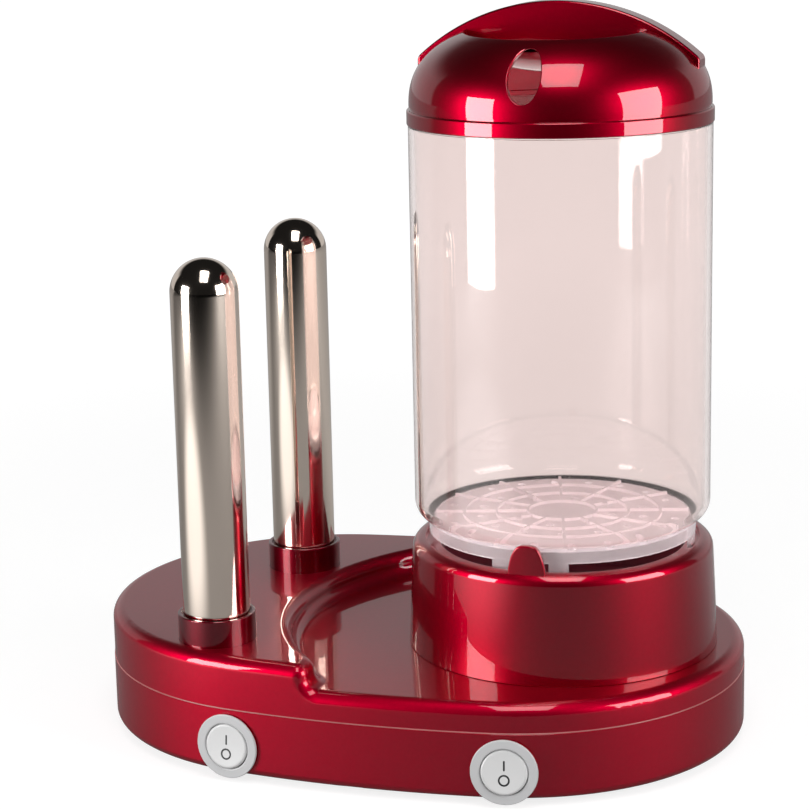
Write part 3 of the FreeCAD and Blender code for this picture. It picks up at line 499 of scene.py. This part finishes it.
# rows of the dome near and inside the hollows, as shares of the way from the axis to their rim
hollowRows = np.array([1.03, 1.015, 1.006, 1.003, 1.001, 1.0, 0.9993, 0.998, 0.9955, 0.992, 0.986,
                       0.975, 0.955, 0.925, 0.88, 0.82, 0.74, 0.64, 0.52, 0.39, 0.25, 0.12, 0.0])


def domeHeight(r, shrink):
    # height above the band at radius r, a power curve: z = h (1 - (r / R)^p)^(1 / p)
    share = np.clip(1 - (r / (dome["radius"] - shrink)) ** dome["power"], 0, 1)
    return (dome["height"] - shrink) * share ** (1 / dome["power"])


def domeReach(z, shrink):
    # radius at height z, the same curve read the other way: r = R (1 - (z / h)^p)^(1 / p)
    share = np.clip(1 - (z / (dome["height"] - shrink)) ** dome["power"], 0, 1)
    return (dome["radius"] - shrink) * share ** (1 / dome["power"])


def hollowShare(x, y, grow):
    # 0 on the middle line of the hollows and 1 on their rim: a half ellipse each side of the blade
    out = np.clip(np.abs(y) - dome["bladeHalf"], 0, None)
    return np.sqrt((x / (dome["halfWidth"] + grow)) ** 2 + (out / (dome["reach"] + grow)) ** 2)


def hollowRim(angles, grow):
    # distance of that rim from the axis in each direction, from the quadratic in r
    a, b, g = dome["halfWidth"] + grow, dome["reach"] + grow, dome["bladeHalf"]
    c, s = np.cos(angles), np.abs(np.sin(angles))
    square = c ** 2 / a ** 2 + s ** 2 / b ** 2
    r = (g * s / b ** 2 + np.sqrt((g * s / b ** 2) ** 2 - square * (g ** 2 / b ** 2 - 1))) / square
    return np.where(r * s < g, a / np.maximum(np.abs(c), 1e-6), r)


def skinHeight(x, y, shrink):
    # the lower of the dome and the hollow's floor, with the corner between them rounded by k:
    # (a + b - sqrt((a - b)^2 + k^2)) / 2; outside the rim the floor rises steeply out of the way
    share = hollowShare(x, y, shrink)
    floor = dome["level"] - (dome["depth"] + shrink) * np.sqrt(np.clip(1 - share ** 2, 0, 1))
    floor = floor + np.clip(share - 1, 0, None) * dome["rimSteep"]
    top = domeHeight(np.hypot(x, y), shrink)
    k = dome["rimRound"]
    return (top + floor - np.sqrt((top - floor) ** 2 + k ** 2)) / 2


def domeSkin(shrink):
    # columns go round the axis; rows climb the skirt by height, then run in to the axis by share
    angles = np.radians(np.arange(0, 360, dome["columnStep"]))
    lower = np.concatenate([[0.0, 1.0, 2.2], np.linspace(3.4, dome["skirtTop"], 15)])
    lowerR = np.repeat(domeReach(lower, shrink)[None, :], len(angles), 0)
    rim = hollowRim(angles, shrink)[:, None]
    near = hollowRows * dome["innerRows"] if shrink else hollowRows
    blend = np.linspace(0, 1, 4)[None, 1:-1]
    between = lowerR[:, -1:] * (1 - blend) + rim * near[0] * blend
    r = np.concatenate([lowerR, between, rim * near[None, :]], axis=1)
    x, y = r * np.cos(angles)[:, None], r * np.sin(angles)[:, None]
    z = skinHeight(x, y, shrink)
    z[:, :len(lower)] = lower[None, :]
    grid = np.stack([tankX + x, tankY + y, domeZ + z], -1)

    # the vent: a block of cells in front is left out, and a ring of cells goes from the block's
    # edge to the oval, worked out in the upright plane and laid back on the dome
    first = round(dome["ventFrom"] / dome["columnStep"])
    last = round(dome["ventTo"] / dome["columnStep"])
    bottom, top = dome["ventRow"], len(lower) - 1
    keep = np.ones((len(angles), r.shape[1] - 1), bool)
    keep[first:last, bottom:top] = False
    columns = np.concatenate([np.arange(first, last), np.full(top - bottom, last),
                              np.arange(last, first, -1), np.full(top - bottom, first)])
    rows = np.concatenate([np.full(last - first, bottom), np.arange(bottom, top),
                           np.full(last - first, top), np.arange(top, bottom, -1)])
    edgeX, edgeZ = x[columns, rows], z[columns, rows]
    turn = np.arctan2((edgeZ - dome["ventLevel"]) / dome["ventRise"], edgeX / dome["ventHalf"])
    ovalX = dome["ventHalf"] * np.cos(turn)
    ovalZ = dome["ventRise"] * np.sin(turn) + dome["ventLevel"]
    t = np.array([0, 0.12, 0.26, 0.42, 0.6, 0.8, 1.0])[None, :]
    rx = ovalX[:, None] * (1 - t) + edgeX[:, None] * t
    rz = ovalZ[:, None] * (1 - t) + edgeZ[:, None] * t
    e = dome["ventRound"] / dome["ventHalf"]
    rx[:, 0] = ovalX * (1 + e)
    rz[:, 0] = (ovalZ - dome["ventLevel"]) * (1 + e) + dome["ventLevel"]
    step = 0.06
    rx[:, 1] = rx[:, 0] * (1 - step) + rx[:, 3] * step
    rz[:, 1] = rz[:, 0] * (1 - step) + rz[:, 3] * step
    ry = -np.sqrt(domeReach(rz, shrink) ** 2 - rx ** 2)
    ring = np.stack([tankX + rx, tankY + ry, domeZ + rz], -1)
    return grid, keep, ring, (ovalX, ovalZ)


def makeDome():
    outer, outerKeep, outerRing, oval = domeSkin(0.0)
    inner, innerKeep, innerRing, _ = domeSkin(dome["wall"])
    # the vent's wall: a quarter circle outside, straight through, and a quarter circle inside
    ovalX, ovalZ = oval
    e = dome["ventRound"]
    outY, inY = outerRing[:, 0, 1], innerRing[:, 0, 1]
    rows = [outerRing[:, 0]]
    outside, inside = np.linspace(0, np.pi / 2, 5)[1:], np.linspace(np.pi / 2, np.pi, 5)[:-1]
    for t in np.concatenate([outside, inside]):
        grow = 1 + e / dome["ventHalf"] * (1 - np.sin(t))
        z = domeZ + (ovalZ - dome["ventLevel"]) * grow + dome["ventLevel"]
        y = outY + e * (1 - np.cos(t)) if len(rows) <= len(outside) else inY - e * (1 + np.cos(t))
        rows.append(np.stack([tankX + ovalX * grow, y, z], -1))
    rows.append(innerRing[:, 0])
    wall = np.stack(rows, axis=1)
    foot = np.stack([outer[:, 0], inner[:, 0]], axis=1)
    patches = [(outer, True, False, outerKeep), (inner, True, False, innerKeep),
               (outerRing, True, False, None), (innerRing, True, False, None),
               (wall, True, False, None), (foot, True, False, None)]
    makePiece("lidDome", patches, finishes["red_lacquer"], "lid", ["lid_dome"])


makeDome()

# blade handle across the lid: an arched top edge, and a lower edge that goes down into the dome
blade = {"half": 56.5, "crest": 40.2, "archRadius": 84.0, "thickness": 12.5, "endDrop": 4.3,
         "round": 1.2, "endRound": 1.0, "sink": 0.9, "sections": 150}


def makeBlade():
    # upright sections stand along x; each is a rectangle with rounded upper edges, from the hollow's
    # floor to the arch crest - R + sqrt(R^2 - x^2), and the last ones shrink to round the ends
    e = blade["endRound"]
    t = np.linspace(0, np.pi / 2, 7)
    ends = blade["half"] - e + e * np.sin(t)
    middle = np.linspace(-blade["half"] + e, blade["half"] - e, blade["sections"])[1:-1]
    x = np.concatenate([-ends[::-1], middle, ends])
    inset = np.concatenate([e * (1 - np.cos(t))[::-1], 0 * middle, e * (1 - np.cos(t))])
    centre = blade["crest"] - blade["archRadius"]
    top = centre + np.sqrt(blade["archRadius"] ** 2 - x ** 2)
    tip = centre + math.sqrt(blade["archRadius"] ** 2 - blade["half"] ** 2)
    half = blade["thickness"] / 2
    share = np.clip(np.abs(x) / dome["halfWidth"], 0, 1)
    floor = dome["level"] - dome["depth"] * np.sqrt(1 - share ** 2)
    bottom = np.minimum(floor, domeHeight(np.hypot(x, half), 0.0)) - blade["sink"]
    bottom = np.maximum(bottom, tip - blade["endDrop"])
    r = blade["round"]
    a = np.linspace(0, np.pi / 2, 6)
    cornerY = half - r + r * np.cos(a)
    cornerZ = r * np.sin(a) - r
    y = np.concatenate([[-half, 0.0, half], cornerY, [0.0], -cornerY[::-1]])
    fromTop = np.concatenate([[0, 0, 0], cornerZ, [0.0], cornerZ[::-1]])
    atTop = np.concatenate([[0, 0, 0], np.ones(13)])
    zs = np.where(atTop[None, :] > 0, top[:, None] + fromTop[None, :], bottom[:, None])
    ys = np.repeat(y[None, :], len(x), 0)
    middleZ = (top + bottom)[:, None] / 2
    ys = ys * (1 - inset[:, None] / half)
    zs = middleZ + (zs - middleZ) * (1 - inset[:, None] / ((top - bottom)[:, None] / 2))
    xs = np.repeat(x[:, None], ys.shape[1], 1)
    grid = np.stack([tankX + xs, tankY + ys, domeZ + zs], -1)
    first = np.repeat(grid[:1].mean(axis=1, keepdims=True), grid.shape[1], 1)
    last = np.repeat(grid[-1:].mean(axis=1, keepdims=True), grid.shape[1], 1)
    grid = np.concatenate([first, grid, last])
    makePiece("lidBlade", [(grid, False, True, None)], finishes["red_lacquer"], "lid",
              ["lid_handle"])


makeBlade()
print("lid and tube made")

# tank shroud: a tapered ring with a rounded shoulder, a lip, and the seat for the vessel inside
shroud = {"bottom": 63.4, "top": 61.2, "shoulder": 4.9, "lip": 55.8, "seatDrop": 1.9,
          "seatInner": 50.0, "seatThickness": 2.5, "wall": 2.5, "deck": 41.2}
tongue = {"half": 7.4, "rise": 10.9, "inner": 55.85, "outer": 59.2, "round": 0.7, "foot": 82.5,
          "risePower": 1.2, "sidePower": 3.6, "bend": 57.0}


def makeShroud():
    s = shroud
    seat = rimZ - s["seatDrop"]
    profile = roundedLoop(
        [(s["bottom"], s["deck"]), (s["top"], rimZ), (s["lip"], rimZ), (s["lip"], seat),
         (s["seatInner"], seat), (s["seatInner"], seat - s["seatThickness"]),
         (s["top"] - s["wall"], seat - s["seatThickness"]), (s["bottom"] - s["wall"], s["deck"])],
        [0.35, s["shoulder"], 0.45, 0.5, 0.6, 0.2, 0.5, 0.2], 10)
    # the tongue's outline is a power curve, half its width times a power of the cosine against its
    # rise times a power of the sine, bent round the lip and rounded in depth; an inset of more than
    # its size closes it to a line at the front and the back
    t = np.linspace(0, 1, 33)
    height = tongue["rise"] * np.sin(t * np.pi / 2) ** (2 / tongue["risePower"])
    across = tongue["half"] * np.cos(t * np.pi / 2) ** (2 / tongue["sidePower"])
    across = np.concatenate([[tongue["half"]], across, -across[-2::-1], [-tongue["half"]]])
    below = tongue["foot"] - rimZ
    height = np.concatenate([[below], height, height[-2::-1], [below]])
    r, closed = tongue["round"], 99
    a = np.linspace(0, np.pi / 2, 5)
    inset = np.concatenate([[closed], r * (1 - np.sin(a)), r * (1 - np.cos(a))[1:], [closed]])
    deep = np.concatenate([[tongue["outer"]], tongue["outer"] - r * (1 - np.cos(a)),
                           tongue["inner"] + r * (1 - np.sin(a))[1:], [tongue["inner"]]])
    scale = np.clip(1 - inset[None, :] / tongue["half"], 0, 1)
    tall = np.clip(1 - inset[None, :] / tongue["rise"], 0, 1)
    wide = across[:, None] * scale
    z = np.where(height[:, None] > 0, height[:, None] * tall, height[:, None])
    turn = wide / tongue["bend"]
    grid = np.stack([tankX + deep[None, :] * np.sin(turn),
                     tankY - deep[None, :] * np.cos(turn), rimZ + z], -1)
    ring = turned(profile, tankX, tankY, evenAngles(240))
    makePiece("tankShroud", [(ring, True, True, None), (grid, True, False, None)],
              finishes["red_lacquer"], "base", ["tank_shroud"])


makeShroud()

# bun spikes: round-ended steel tubes, swaged in a little inside their collars
spike = {"radius": 13.5, "wall": 1.0, "step": 0.2, "height": 155.0, "swage": 11.0, "swageHalf": 0.4,
         "straight": 1.5, "flange": 15.1, "flangeThickness": 1.5}
collar = {"gap": 0.7, "wall": 1.5, "height": 11.0, "sink": 3.0, "round": 0.45, "ledgeDrop": 1.3,
          "ledge": 1.0, "ledgeGap": 0.06, "rootGap": 0.1}


def makeSpike(end):
    node = "bun_spike_" + end
    x, y = ((low(node) + high(node)) / 2)[:2]
    bottom = low(node)[2]
    centre = raisedZ + spike["height"] - spike["radius"]
    a = np.linspace(0, np.pi / 2, 24)
    root = spike["radius"] - spike["step"]
    swage = raisedZ + spike["swage"]
    inner = root - spike["wall"]
    # quarter circle over the tip, down the wall and round the flange, and back up inside
    outside = np.stack([spike["radius"] * np.sin(a), centre + spike["radius"] * np.cos(a)], -1)
    flangeTop = bottom + spike["flangeThickness"]
    body = np.array([(spike["radius"], swage + spike["straight"]),
                     (spike["radius"], swage + spike["swageHalf"]),
                     (root, swage - spike["swageHalf"]), (root, flangeTop),
                     (spike["flange"], flangeTop), (spike["flange"], bottom), (inner, bottom)])
    inside = np.stack([inner * np.sin(a[::-1]), centre + inner * np.cos(a[::-1])], -1)
    turnedPiece("bunSpike." + end, np.concatenate([outside, body, inside]), x, y,
                finishes["polished_steel"], "base", [node], 96)
    inner = spike["radius"] + collar["gap"]
    outer = inner + collar["wall"]
    top, foot = raisedZ + collar["height"], raisedZ - collar["sink"]
    ledge = top - collar["ledgeDrop"]
    under = ledge - collar["ledge"]
    near, bore = root + collar["ledgeGap"], root + collar["rootGap"]
    profile = roundedLoop([(outer, foot), (outer, top), (inner, top), (inner, ledge), (near, ledge),
                           (near, under), (inner, under), (inner, raisedZ), (bore, raisedZ),
                           (bore, foot)],
                          [0.1, collar["round"], collar["round"], 0.2, 0.1, 0.1, 0.1, 0.3, 0.1, 0.1])
    turnedPiece("spikeCollar." + end, profile, x, y, collarFinish, "base",
                ["spike_collar_" + end], 96)


for end in ("front", "rear"):
    makeSpike(end)
print("tank and spikes made")

# round rocker switches: a flat bezel ring with a rounded edge, a slightly dished rocker, two marks
switch = {"bezel": 13.2, "thickness": 1.0, "bezelRound": 0.4, "innerRound": 0.7, "barrel": 11.0,
          "barrelDepth": 19.0, "floor": 2.0, "cavity": 9.36, "rocker": 9.2, "ball": 9.3,
          "rockerThickness": 5.0, "rockerRound": 1.1, "lift": 0.4, "dish": 0.3, "tilt": 6.0,
          "barTop": 4.6, "barBottom": 0.5, "ringCentre": -3.2,
          "ringRadius": 1.95, "line": 0.36, "ink": 0.05}


def onAxis(r, h, angles, origin, axes):
    # a point r from the switch's axis and h in front of its seat, at angle a round the axis:
    # origin + h out + r (across cos a + up sin a)
    across, up, out = axes
    a = np.asarray(angles)[:, None, None]
    flat = np.cos(a) * across + np.sin(a) * up
    return origin + r[None, :, None] * flat + h[None, :, None] * out


def makeSwitch(side):
    joint = [j for j in frame["joints"] if j["name"] == "rocker_" + side + "_tilt"][0]
    pivot = np.array(joint["pos_m"]) / mm
    across = -np.array(joint["axis"], float)
    across /= np.linalg.norm(across)
    up = np.array([0.0, 0.0, 1.0])
    out = np.cross(across, up)
    s = switch
    pivotDepth = s["thickness"] + s["lift"] - s["rockerThickness"] / 2
    seat = pivot - out * pivotDepth
    back = -s["barrelDepth"]
    profile = roundedLoop(
        [(s["bezel"], 0), (s["bezel"], s["thickness"]), (s["cavity"], s["thickness"]),
         (s["cavity"], s["floor"] + back), (0.01, s["floor"] + back), (0.01, back),
         (s["barrel"], back), (s["barrel"], 0)],
        [0.15, s["bezelRound"], s["innerRound"], 0.3, 0.001, 0.001, 0.3, 0.1])
    profile[:, 0] = np.where(profile[:, 0] < 0.02, 0, profile[:, 0])
    grid = onAxis(profile[:, 0], profile[:, 1], evenAngles(96), seat, (across, up, out))
    makePiece("switchBezel." + side, [(grid, True, True, None)], finishes["switch_grey"], "base",
              ["switch_body_" + side])

    tilt = math.radians(s["tilt"])
    upT = up * math.cos(tilt) - out * math.sin(tilt)
    outT = out * math.cos(tilt) + up * math.sin(tilt)
    axes = (across, upT, outT)
    half = s["rockerThickness"] / 2
    e = s["rockerRound"]
    a = np.linspace(0, np.pi / 2, 7)

    def face(r):
        # the dish is deepest in the middle: h = half - d (1 - (r / R)^2)
        return half - s["dish"] * (1 - (r / (s["rocker"] - e)) ** 2)

    # the side is part of a ball about the pivot, r = sqrt(R^2 - h^2), so its gap stays narrow
    inner = np.linspace(0, s["rocker"] - e, 12)[:-1]
    flank = np.linspace(half - e, -half, 9)[1:]
    rim = math.sqrt(s["ball"] ** 2 - (half - e) ** 2)
    r = np.concatenate([inner, s["rocker"] - e + (rim - s["rocker"] + e) * np.sin(a),
                        np.sqrt(s["ball"] ** 2 - flank ** 2), [0]])
    h = np.concatenate([face(inner), half - e + e * np.cos(a), flank, [-half]])
    grid = onAxis(r, h, evenAngles(72), pivot, axes)
    makePiece("rocker." + side, [(grid, True, False, None)], rockerFace, "rocker_" + side,
              ["rocker_" + side])

    # marks: an oval section, as wide as the line and as high as the ink, is carried up a straight
    # bar, where a quarter circle closes each end, and round a ring
    turn = evenAngles(8)
    endTurn = np.linspace(-np.pi / 2, np.pi / 2, 9)
    lower, upper = endTurn[:5], endTurn[4:]
    reach = (s["barTop"] - s["barBottom"]) / 2 - s["line"]
    ends = np.concatenate([np.sin(lower) * s["line"] - reach, np.sin(upper) * s["line"] + reach])
    width = np.concatenate([np.cos(lower), np.cos(upper)])
    v = (s["barTop"] + s["barBottom"]) / 2 + ends[:, None] + 0 * turn[None, :]
    u = width[:, None] * s["line"] * np.cos(turn)[None, :]
    w = face(np.hypot(u, v)) + width[:, None] * s["ink"] * np.sin(turn)[None, :]
    bar = pivot + u[..., None] * across + v[..., None] * upT + w[..., None] * outT
    around = evenAngles(48)[:, None]
    ring = s["ringRadius"] + s["line"] * np.cos(turn)[None, :]
    u, v = ring * np.cos(around), s["ringCentre"] + ring * np.sin(around)
    w = face(np.hypot(u, v)) + s["ink"] * np.sin(turn)[None, :]
    loop = pivot + u[..., None] * across + v[..., None] * upT + w[..., None] * outT
    makePiece("rockerMarks." + side, [(bar, False, True, None), (loop, True, True, None)],
              markInk, "rocker_" + side)


for side in ("left", "right"):
    makeSwitch(side)
print("switches made")

# thin bead in the joint between the two shells of the base, coloured with a painted highlight
bead = {"length": 269.4, "endRadius": 93.0, "sideRadius": 410.0, "inset": 0.33, "radius": 0.30,
        "level": 29.85}


def makeBead():
    # the base's outline by the direction n that its wall faces: p(n) = c + (R - inset) n, where c and
    # R are the centre and radius of the arc that faces n; a small circle is carried along it
    b = bead
    endX = b["length"] / 2 - b["endRadius"]
    sideY = math.sqrt((b["sideRadius"] - b["endRadius"]) ** 2 - endX ** 2)
    turn = math.atan2(endX, sideY)
    quarter = np.concatenate([np.linspace(0, np.pi / 2 - turn, 60)[:-1],
                              np.linspace(np.pi / 2 - turn, np.pi / 2, 24)])
    half = np.concatenate([quarter, np.pi - quarter[-2::-1]])
    a = np.concatenate([half, 2 * np.pi - half[-2:0:-1]])[:, None]
    c, s = np.cos(a), np.sin(a)
    onSide = np.abs(c) < math.sin(turn) - 1e-9
    centreX = np.where(onSide, 0, np.sign(c) * endX)
    centreY = np.where(onSide, -np.sign(s) * sideY, 0)
    radius = np.where(onSide, b["sideRadius"], b["endRadius"]) - b["inset"]
    t = evenAngles(12)[None, :]
    r = radius + b["radius"] * np.cos(t)
    z = b["level"] + b["radius"] * np.sin(t) + 0 * a
    grid = np.stack([centreX + r * c, centreY + r * s, z], -1)
    makePiece("seamPaintedHighlightBead", [(grid, True, True, None)], seamPaintedHighlight, "base")


makeBead()

# white sheet under the object, before a dark room and a pale wall, so that the gloss has contrast;
# levels are brightnesses, where 1 is white, and distances are in metres
studio = {"size": 12.0, "sheet": "#8C8C8C", "beyond": "#161616", "sheetFront": -0.75, "sheetSoft": 0.35,
          "nearLift": 0.80, "farLift": 1.0, "nearEdge": 0.25, "farEdge": 1.3,
          "backLift": 0.22, "backFull": 0.4, "spot": (-0.36, -0.36, 0.0), "spotLevel": 0.80,
          "spotInner": 0.14, "spotOuter": 0.32,
          "fill": 0.17, "backGloss": 0.52, "roomGloss": 0.01, "sector": 0.45, "soft": 0.03,
          "backTop": 0.44, "topSoft": 0.12, "ahead": (-0.304, 0.953, 0.0)}


def makeFloor():
    # brightness for the camera and through glass rises from nearLift by the object to farLift far off
    mesh = bpy.data.meshes.new("floor")
    s = studio
    half = s["size"]
    corners = [(-half, -half, 0), (half, -half, 0), (half, half, 0), (-half, half, 0)]
    mesh.from_pydata(corners, [], [(0, 1, 2, 3)])
    floor = addObject("floor", mesh)
    material, tree, out = newMaterial("whiteSheet")
    place = addNode(tree, "ShaderNodeTexCoord").outputs["Object"]
    far = addNode(tree, "ShaderNodeVectorMath", {"operation": "LENGTH"}, {0: place}).outputs["Value"]
    along = addNode(tree, "ShaderNodeSeparateXYZ", None, {0: place}).outputs["Y"]
    rays = addNode(tree, "ShaderNodeLightPath")
    onSheet = smoothNode(tree, along, s["sheetFront"] - s["sheetSoft"],
                         s["sheetFront"] + s["sheetSoft"])
    mix = addNode(tree, "ShaderNodeMix", {"data_type": "RGBA", 6: hexColour(s["beyond"]),
                                          7: hexColour(s["sheet"])}, {0: onSheet})
    matte = addNode(tree, "ShaderNodeBsdfDiffuse", None, {"Color": mix.outputs[2]})
    seen = mathNode(tree, "MAXIMUM", rays.outputs["Is Camera Ray"],
                    rays.outputs["Is Transmission Ray"])
    lift = smoothNode(tree, far, s["nearEdge"], s["farEdge"], s["nearLift"], s["farLift"])
    back = smoothNode(tree, along, 0.0, s["backFull"], 0.0, s["backLift"])
    # a brighter spot of the sheet for gloss alone, which the spikes mirror on their left
    offSpot = addNode(tree, "ShaderNodeVectorMath", {"operation": "DISTANCE", 1: s["spot"]}, {0: place})
    spot = smoothNode(tree, offSpot.outputs["Value"], s["spotInner"], s["spotOuter"],
                      s["spotLevel"], 0.0)
    seenPart = mathNode(tree, "MULTIPLY", lift, seen)
    glossPart = mathNode(tree, "MULTIPLY", mathNode(tree, "ADD", back, spot),
                         rays.outputs["Is Glossy Ray"])
    glow = addNode(tree, "ShaderNodeEmission", None,
                   {"Strength": mathNode(tree, "ADD", seenPart, glossPart)})
    total = addNode(tree, "ShaderNodeAddShader", None, {0: matte.outputs[0], 1: glow.outputs[0]})
    tree.links.new(total.outputs[0], out.inputs["Surface"])
    mesh.materials.append(material)


def makeWorld():
    # gloss sees a pale wall behind the object, as wide as the sector (a cosine) and as high as
    # backTop (a sine), in a dark room; everything else gets a plain fill
    world = bpy.data.worlds.new("studioWorld")
    bpy.context.scene.world = world
    world.use_nodes = True
    tree = world.node_tree
    tree.nodes.clear()
    s = studio
    out = addNode(tree, "ShaderNodeOutputWorld")
    rays = addNode(tree, "ShaderNodeLightPath")
    place = addNode(tree, "ShaderNodeTexCoord").outputs["Generated"]
    flat = addNode(tree, "ShaderNodeVectorMath", {"operation": "MULTIPLY", 1: (1, 1, 0)}, {0: place})
    level = addNode(tree, "ShaderNodeVectorMath", {"operation": "NORMALIZE"}, {0: flat.outputs[0]})
    dot = addNode(tree, "ShaderNodeVectorMath", {"operation": "DOT_PRODUCT", 1: s["ahead"]},
                  {0: level.outputs[0]})
    rise = addNode(tree, "ShaderNodeSeparateXYZ", None, {0: place}).outputs["Z"]
    wide = smoothNode(tree, dot.outputs["Value"], s["sector"] - s["soft"], s["sector"] + s["soft"])
    tall = smoothNode(tree, rise, s["backTop"] - s["topSoft"], s["backTop"] + s["topSoft"], 1.0, 0.0)
    wall = addNode(tree, "ShaderNodeMapRange", {"To Min": s["roomGloss"], "To Max": s["backGloss"]},
                   {"Value": mathNode(tree, "MULTIPLY", wide, tall)})
    white = (1, 1, 1, 1)
    fill = addNode(tree, "ShaderNodeBackground", {"Color": white, "Strength": s["fill"]})
    gloss = addNode(tree, "ShaderNodeBackground", {"Color": white}, {"Strength": wall.outputs[0]})
    bright = addNode(tree, "ShaderNodeBackground", {"Color": white, "Strength": 1.0})
    seen = mathNode(tree, "MAXIMUM", rays.outputs["Is Camera Ray"],
                    rays.outputs["Is Transmission Ray"])
    first = addNode(tree, "ShaderNodeMixShader", None,
                    {0: rays.outputs["Is Glossy Ray"], 1: fill.outputs[0], 2: gloss.outputs[0]})
    second = addNode(tree, "ShaderNodeMixShader", None,
                     {0: seen, 1: first.outputs[0], 2: bright.outputs[0]})
    tree.links.new(second.outputs[0], out.inputs["Surface"])


def softbox(name, place, aim, width, height, power):
    # flat lamp at place, turned to face aim, which the camera doesn't see
    light = bpy.data.lights.new(name, "AREA")
    light.shape = "RECTANGLE"
    light.size = width
    light.size_y = height
    light.energy = power
    obj = addObject(name, light)
    back = np.array(place, float) - np.array(aim, float)
    back /= np.linalg.norm(back)
    across = np.cross((0.0, 0.0, 1.0), back)
    across /= np.linalg.norm(across)
    placeObject(obj, across, np.cross(back, across), back, place)
    obj.visible_camera = False


# lens and sensor in mm; place in metres from the tank's axis and the floor; unit directions
camera = {"lens": 105.58, "sensor": 36, "shiftX": -0.0029, "shiftY": 0.0059, "rollDegrees": -1.20,
          "fromTank": (0.2253, -0.9109), "height": 0.3576,
          "forward": (-0.29620, 0.92756, -0.22784), "right": (0.95261, 0.30420, 0.0),
          "down": (0.06931, -0.21704, -0.97370)}


def makeCamera():
    data = bpy.data.cameras.new("camera")
    obj = addObject("camera", data)
    data.sensor_width = camera["sensor"]
    data.lens = camera["lens"]
    data.shift_x = camera["shiftX"]
    data.shift_y = camera["shiftY"]
    data.clip_start = 0.01
    data.clip_end = 100
    forward, right, down = (np.array(camera[key]) for key in ("forward", "right", "down"))
    roll = math.radians(camera["rollDegrees"])
    localX = math.cos(roll) * right - math.sin(roll) * down
    localY = -(math.sin(roll) * right + math.cos(roll) * down)
    place = (tankX * mm + camera["fromTank"][0], tankY * mm + camera["fromTank"][1], camera["height"])
    placeObject(obj, localX, localY, -forward, place)
    bpy.context.scene.camera = obj


# place, aim, width and height in metres, and power in watts
lights = {
    "leftBox": ((-0.75, -0.75, 0.27), (0.0, 0.0, 0.16), 0.45, 0.55, 10.6),
    "topBox": ((0.20, -0.55, 1.25), (0.05, 0.0, 0.1), 0.5, 0.9, 6.9),
    "rightBox": ((1.10, -0.25, 0.40), (0.05, 0.0, 0.15), 0.66, 0.6, 10.5),
}

makeFloor()
makeWorld()
for name, values in lights.items():
    softbox(name, *values)
makeCamera()
bpy.context.scene.view_settings.view_transform = "Standard"
print("studio ready")
